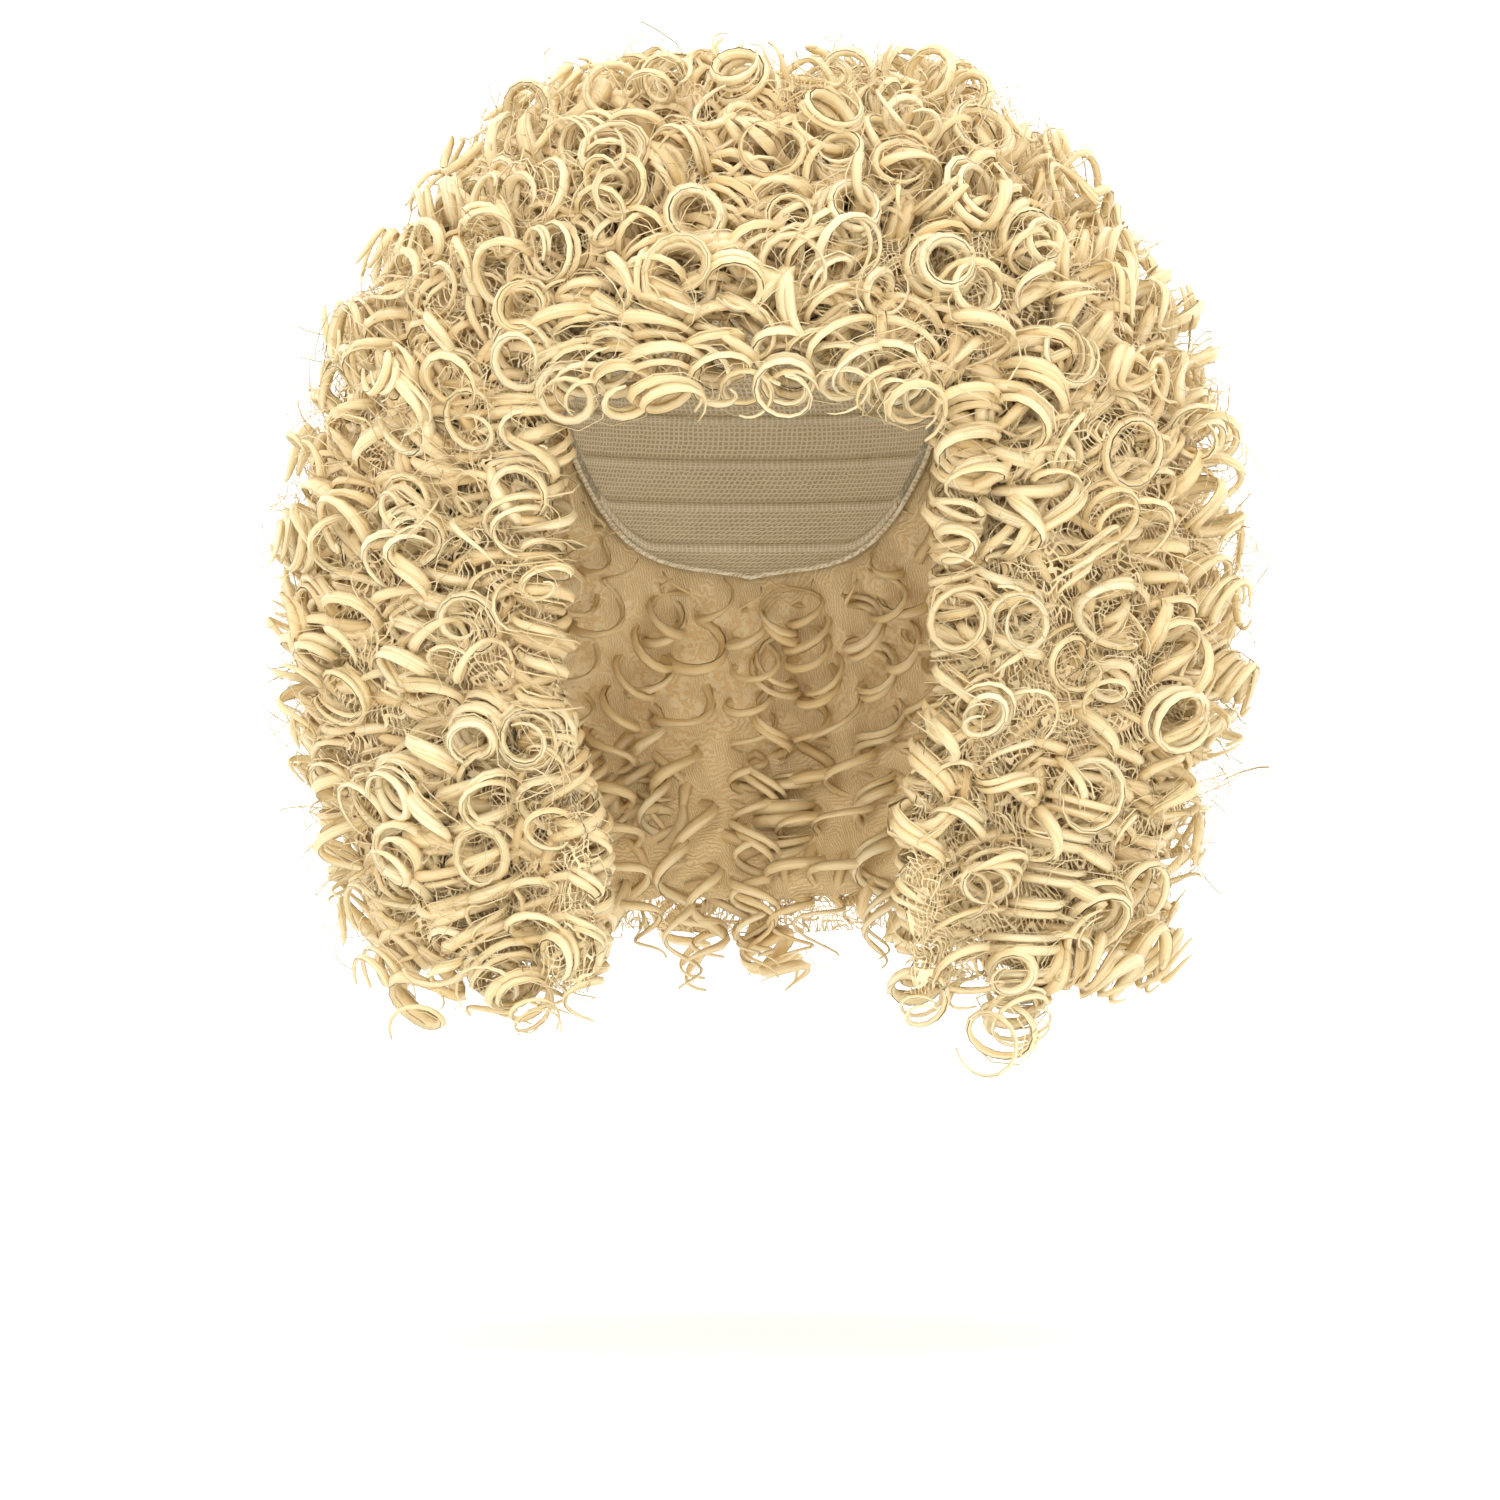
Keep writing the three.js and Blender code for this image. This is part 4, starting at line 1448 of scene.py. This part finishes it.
# Stretch cap: a knitted elastic net with sewn weft tracks inside it and a folded binding at its rim
capNet = {
    "columns": 120,
    "rows": 26,
    "bindingRows": 9,
    "bindingHalfWidth": 1.6,
    "trackSpacing": 17,
    "trackRadius": 1.3,
    "trackSides": 6,
    "firstTrack": 2,
    "lastTrack": 12,
    "trackFlatness": 1.6,
    "trackSink": 0.2,
    "rimMargin": 5,  # of the lowest track above the rim
    "net": "#F0DFB6",
    "thread": "#FFF4D8",
    # painted shade, as seen through the holes of the knit
    "holeShade": "#C9B080",
    "meshSize": 1.7,  # real meshes are about 1 mm, so they are drawn coarser to show
    "bumpHeight": 0.35,
}


def netMaterial(name, spec):
    material, tree = newMaterial(name)
    strand = addNode(tree, "ShaderNodeAttribute", attribute_name="strand")
    meshes = addNode(
        tree,
        "ShaderNodeTexVoronoi",
        {"Vector": strand.outputs["Vector"], "Scale": 1 / spec["meshSize"], "Randomness": 0.25},
        feature="DISTANCE_TO_EDGE",
        voronoi_dimensions="2D",
    )
    thread = addNode(
        tree,
        "ShaderNodeMapRange",
        {0: meshes.outputs["Distance"], 1: 0.08, 2: 0.3, 3: 1.0, 4: 0.0},
        interpolation_type="SMOOTHSTEP",
    )
    # Random patches over which the ground between the threads goes from the net's colour to the painted
    # shade of the holes
    groundPatches = addNode(
        tree, "ShaderNodeTexNoise", {"Vector": strand.outputs["Vector"], "Scale": 0.05, "Detail": 4.0}
    )
    ground = addNode(
        tree,
        "ShaderNodeMix",
        {"Factor": groundPatches.outputs[0], "A": linearColour(spec["holeShade"]), "B": linearColour(spec["net"])},
        data_type="RGBA",
    )
    coloured = addNode(
        tree,
        "ShaderNodeMix",
        {"Factor": thread.outputs[0], "A": ground.outputs["Result"], "B": linearColour(spec["thread"])},
        data_type="RGBA",
    )
    bump = addNode(
        tree,
        "ShaderNodeBump",
        {"Height": thread.outputs[0], "Strength": 0.7, "Distance": spec["bumpHeight"] * mm},
    )
    shader = addNode(
        tree,
        "ShaderNodeBsdfPrincipled",
        {
            "Base Color": coloured.outputs["Result"],
            "Roughness": 0.75,
            "Normal": bump.outputs[0],
            "Sheen Weight": 0.15,
            "IOR": 1.5,
        },
    )
    addNode(tree, "ShaderNodeOutputMaterial", {"Surface": shader.outputs[0]})
    return material


# Place on the cap at an angle from its pole, so far outside the head
def onCap(azimuth, angle, margin):
    rise = headShape["crownToWidest"] + margin
    level = rise * np.cos(angle) - headShape["crownToWidest"]
    oval = ovalReach(azimuth, headShape["halfWidth"] + margin, headShape["halfDepth"] + margin)
    return atReach(np.sin(angle) * oval, np.radians(azimuth), level)


def makeCap(spec):
    rows, turns = spec["rows"], spec["bindingRows"]
    total = 2 * rows + turns
    columns = spec["columns"]
    work = spunSheet(total, columns, False, True)
    azimuth = np.tile((np.arange(columns) / columns * 360)[:, None], (1, total))
    wall = headShape["capWall"]
    widest = headShape["crownToWidest"]
    bindingLevel = rimLevel(wrapped(azimuth)) + spec["bindingHalfWidth"]
    rimAngle = np.arccos(np.clip((bindingLevel + widest) / (widest + wall), -1, 1))
    share = np.concatenate([np.linspace(0, 1, rows), np.ones(turns), np.linspace(1, 0, rows)])
    fold = np.concatenate([np.zeros(rows), np.linspace(0, np.pi, turns + 2)[1:-1], np.full(rows, np.pi)])
    half = spec["bindingHalfWidth"]
    folded = np.concatenate([np.zeros(rows), np.ones(turns), np.zeros(rows)])
    margin = wall / 2 + np.cos(fold) * lerp(wall / 2, half * 0.8, folded)
    angle = rimAngle * share + folded * half * np.sin(fold) / (widest + wall)
    points = onCap(azimuth, angle, margin)
    down = angle * widest
    aside = np.radians(azimuth) * 80 * np.maximum(np.sin(angle), 0.15)
    strand = np.stack([aside, down, 0 * down], -1)
    return shapedSheet("stretch_cap", work, points, netMaterial("knitted_net", spec), strand)


def makeWeftTracks(spec):
    columns, sides = spec["columns"], spec["trackSides"]
    widest = headShape["crownToWidest"]
    works = []
    for number in range(spec["firstTrack"], spec["lastTrack"] + 1):
        work = spunSheet(sides, columns, True, True)
        azimuth = np.tile((np.arange(columns) / columns * 360)[:, None], (1, sides))
        lowest = rimLevel(wrapped(azimuth)) + spec["rimMargin"]
        rimAngle = np.arccos(np.clip((lowest + widest) / widest, -1, 1))
        middle = np.minimum(number * spec["trackSpacing"] / widest, rimAngle)
        ring = np.tile(np.arange(sides) * tau / sides, (columns, 1))
        angle = middle + spec["trackRadius"] * spec["trackFlatness"] * np.sin(ring) / widest
        margin = -spec["trackSink"] + spec["trackRadius"] * np.cos(ring)
        strand = np.stack([azimuth * 1.3, ring * 3, 0 * ring], -1)
        works.append((work, onCap(azimuth, angle, margin), strand))
    return works


cap = makeCap(capNet)
finishPiece(cap, "cap_net", "cap")
# The weft tape's holes also take painted shade
weftCloth = netMaterial("sewn_weft_tape", {**capNet, "net": "#F7E9C6", "holeShade": "#D3BD8E"})
for number, (work, points, strand) in enumerate(makeWeftTracks(capNet)):
    track = shapedSheet(f"weft_track_{number}", work, points, weftCloth, strand)
    finishPiece(track, "cap_net", "cap")
print("cap sewn")

# Floor and backdrop in one bowl, wide enough for the camera to go all round inside it
stage = {
    "floorLevel": -440,
    "radius": 3400,
    "corner": 900,
    "top": 1500,
    "cornerSteps": 16,
    "around": 96,
}


def makeSweep(spec):
    work = bmesh.new()
    reach = spec["radius"]
    pole = work.verts.new((0, 0, spec["floorLevel"]))
    rim = work.verts.new((reach, 0, spec["floorLevel"]))
    work.edges.new((pole, rim))
    turned = bmesh.ops.spin(
        work,
        geom=[rim],
        cent=(reach, 0, spec["floorLevel"] + spec["corner"]),
        axis=(0, -1, 0),
        angle=np.radians(90),
        steps=spec["cornerSteps"],
        use_merge=False,
        use_duplicate=False,
    )["geom_last"]
    last = [g for g in turned if isinstance(g, bmesh.types.BMVert)][0]
    raised = bmesh.ops.extrude_vert_indiv(work, verts=[last])["verts"][0]
    raised.co.z = spec["top"]
    bmesh.ops.spin(
        work,
        geom=work.verts[:] + work.edges[:],
        cent=(0, 0, 0),
        axis=(0, 0, 1),
        angle=tau,
        steps=spec["around"],
        use_merge=True,
        use_duplicate=False,
    )
    bmesh.ops.remove_doubles(work, verts=work.verts[:], dist=0.01)
    bmesh.ops.scale(work, vec=(mm, mm, mm), verts=work.verts[:])
    bmesh.ops.recalc_face_normals(work, faces=work.faces[:])
    bmesh.ops.reverse_faces(work, faces=work.faces[:])
    material, tree = newMaterial("matt_paper")
    shader = addNode(
        tree,
        "ShaderNodeBsdfPrincipled",
        {"Base Color": linearColour("#FAFAF9"), "Roughness": 0.9},
    )
    addNode(tree, "ShaderNodeOutputMaterial", {"Surface": shader.outputs[0]})
    smoothPiece("studio_sweep", work, material)


makeSweep(stage)

wigMiddle = (0, 0, -150)
lamps = {
    # place, what it shines on, size, power in watts
    "key": ((-350, -2100, 500), wigMiddle, 900, 8),
    "fill": ((700, -2200, -100), wigMiddle, 900, 4),
    "top": ((0, -300, 1500), wigMiddle, 1600, 13),
    "behindLeft": ((-1400, 900, 500), wigMiddle, 1000, 7),
    "behindRight": ((1400, 900, 500), wigMiddle, 1000, 7),
    "backdrop": ((0, 1700, 1300), (0, 4300, -100), 1600, 60),
}
for name, (place, target, size, power) in lamps.items():
    lampData = bpy.data.lights.new(f"lamp_{name}", "AREA")
    lampData.shape = "DISK"
    lampData.size = size * mm
    lampData.energy = power
    lamp = bpy.data.objects.new(f"lamp_{name}", lampData)
    scene.collection.objects.link(lamp)
    lamp.location = Vector(place) * mm
    aim = Vector(target) * mm - lamp.location
    lamp.rotation_euler = aim.to_track_quat("-Z", "Y").to_euler()
world = bpy.data.worlds.new("studio")
world.use_nodes = True
world.node_tree.nodes["Background"].inputs["Color"].default_value = (1, 1, 1, 1)
world.node_tree.nodes["Background"].inputs["Strength"].default_value = 0.97
scene.world = world
print("stage lit")
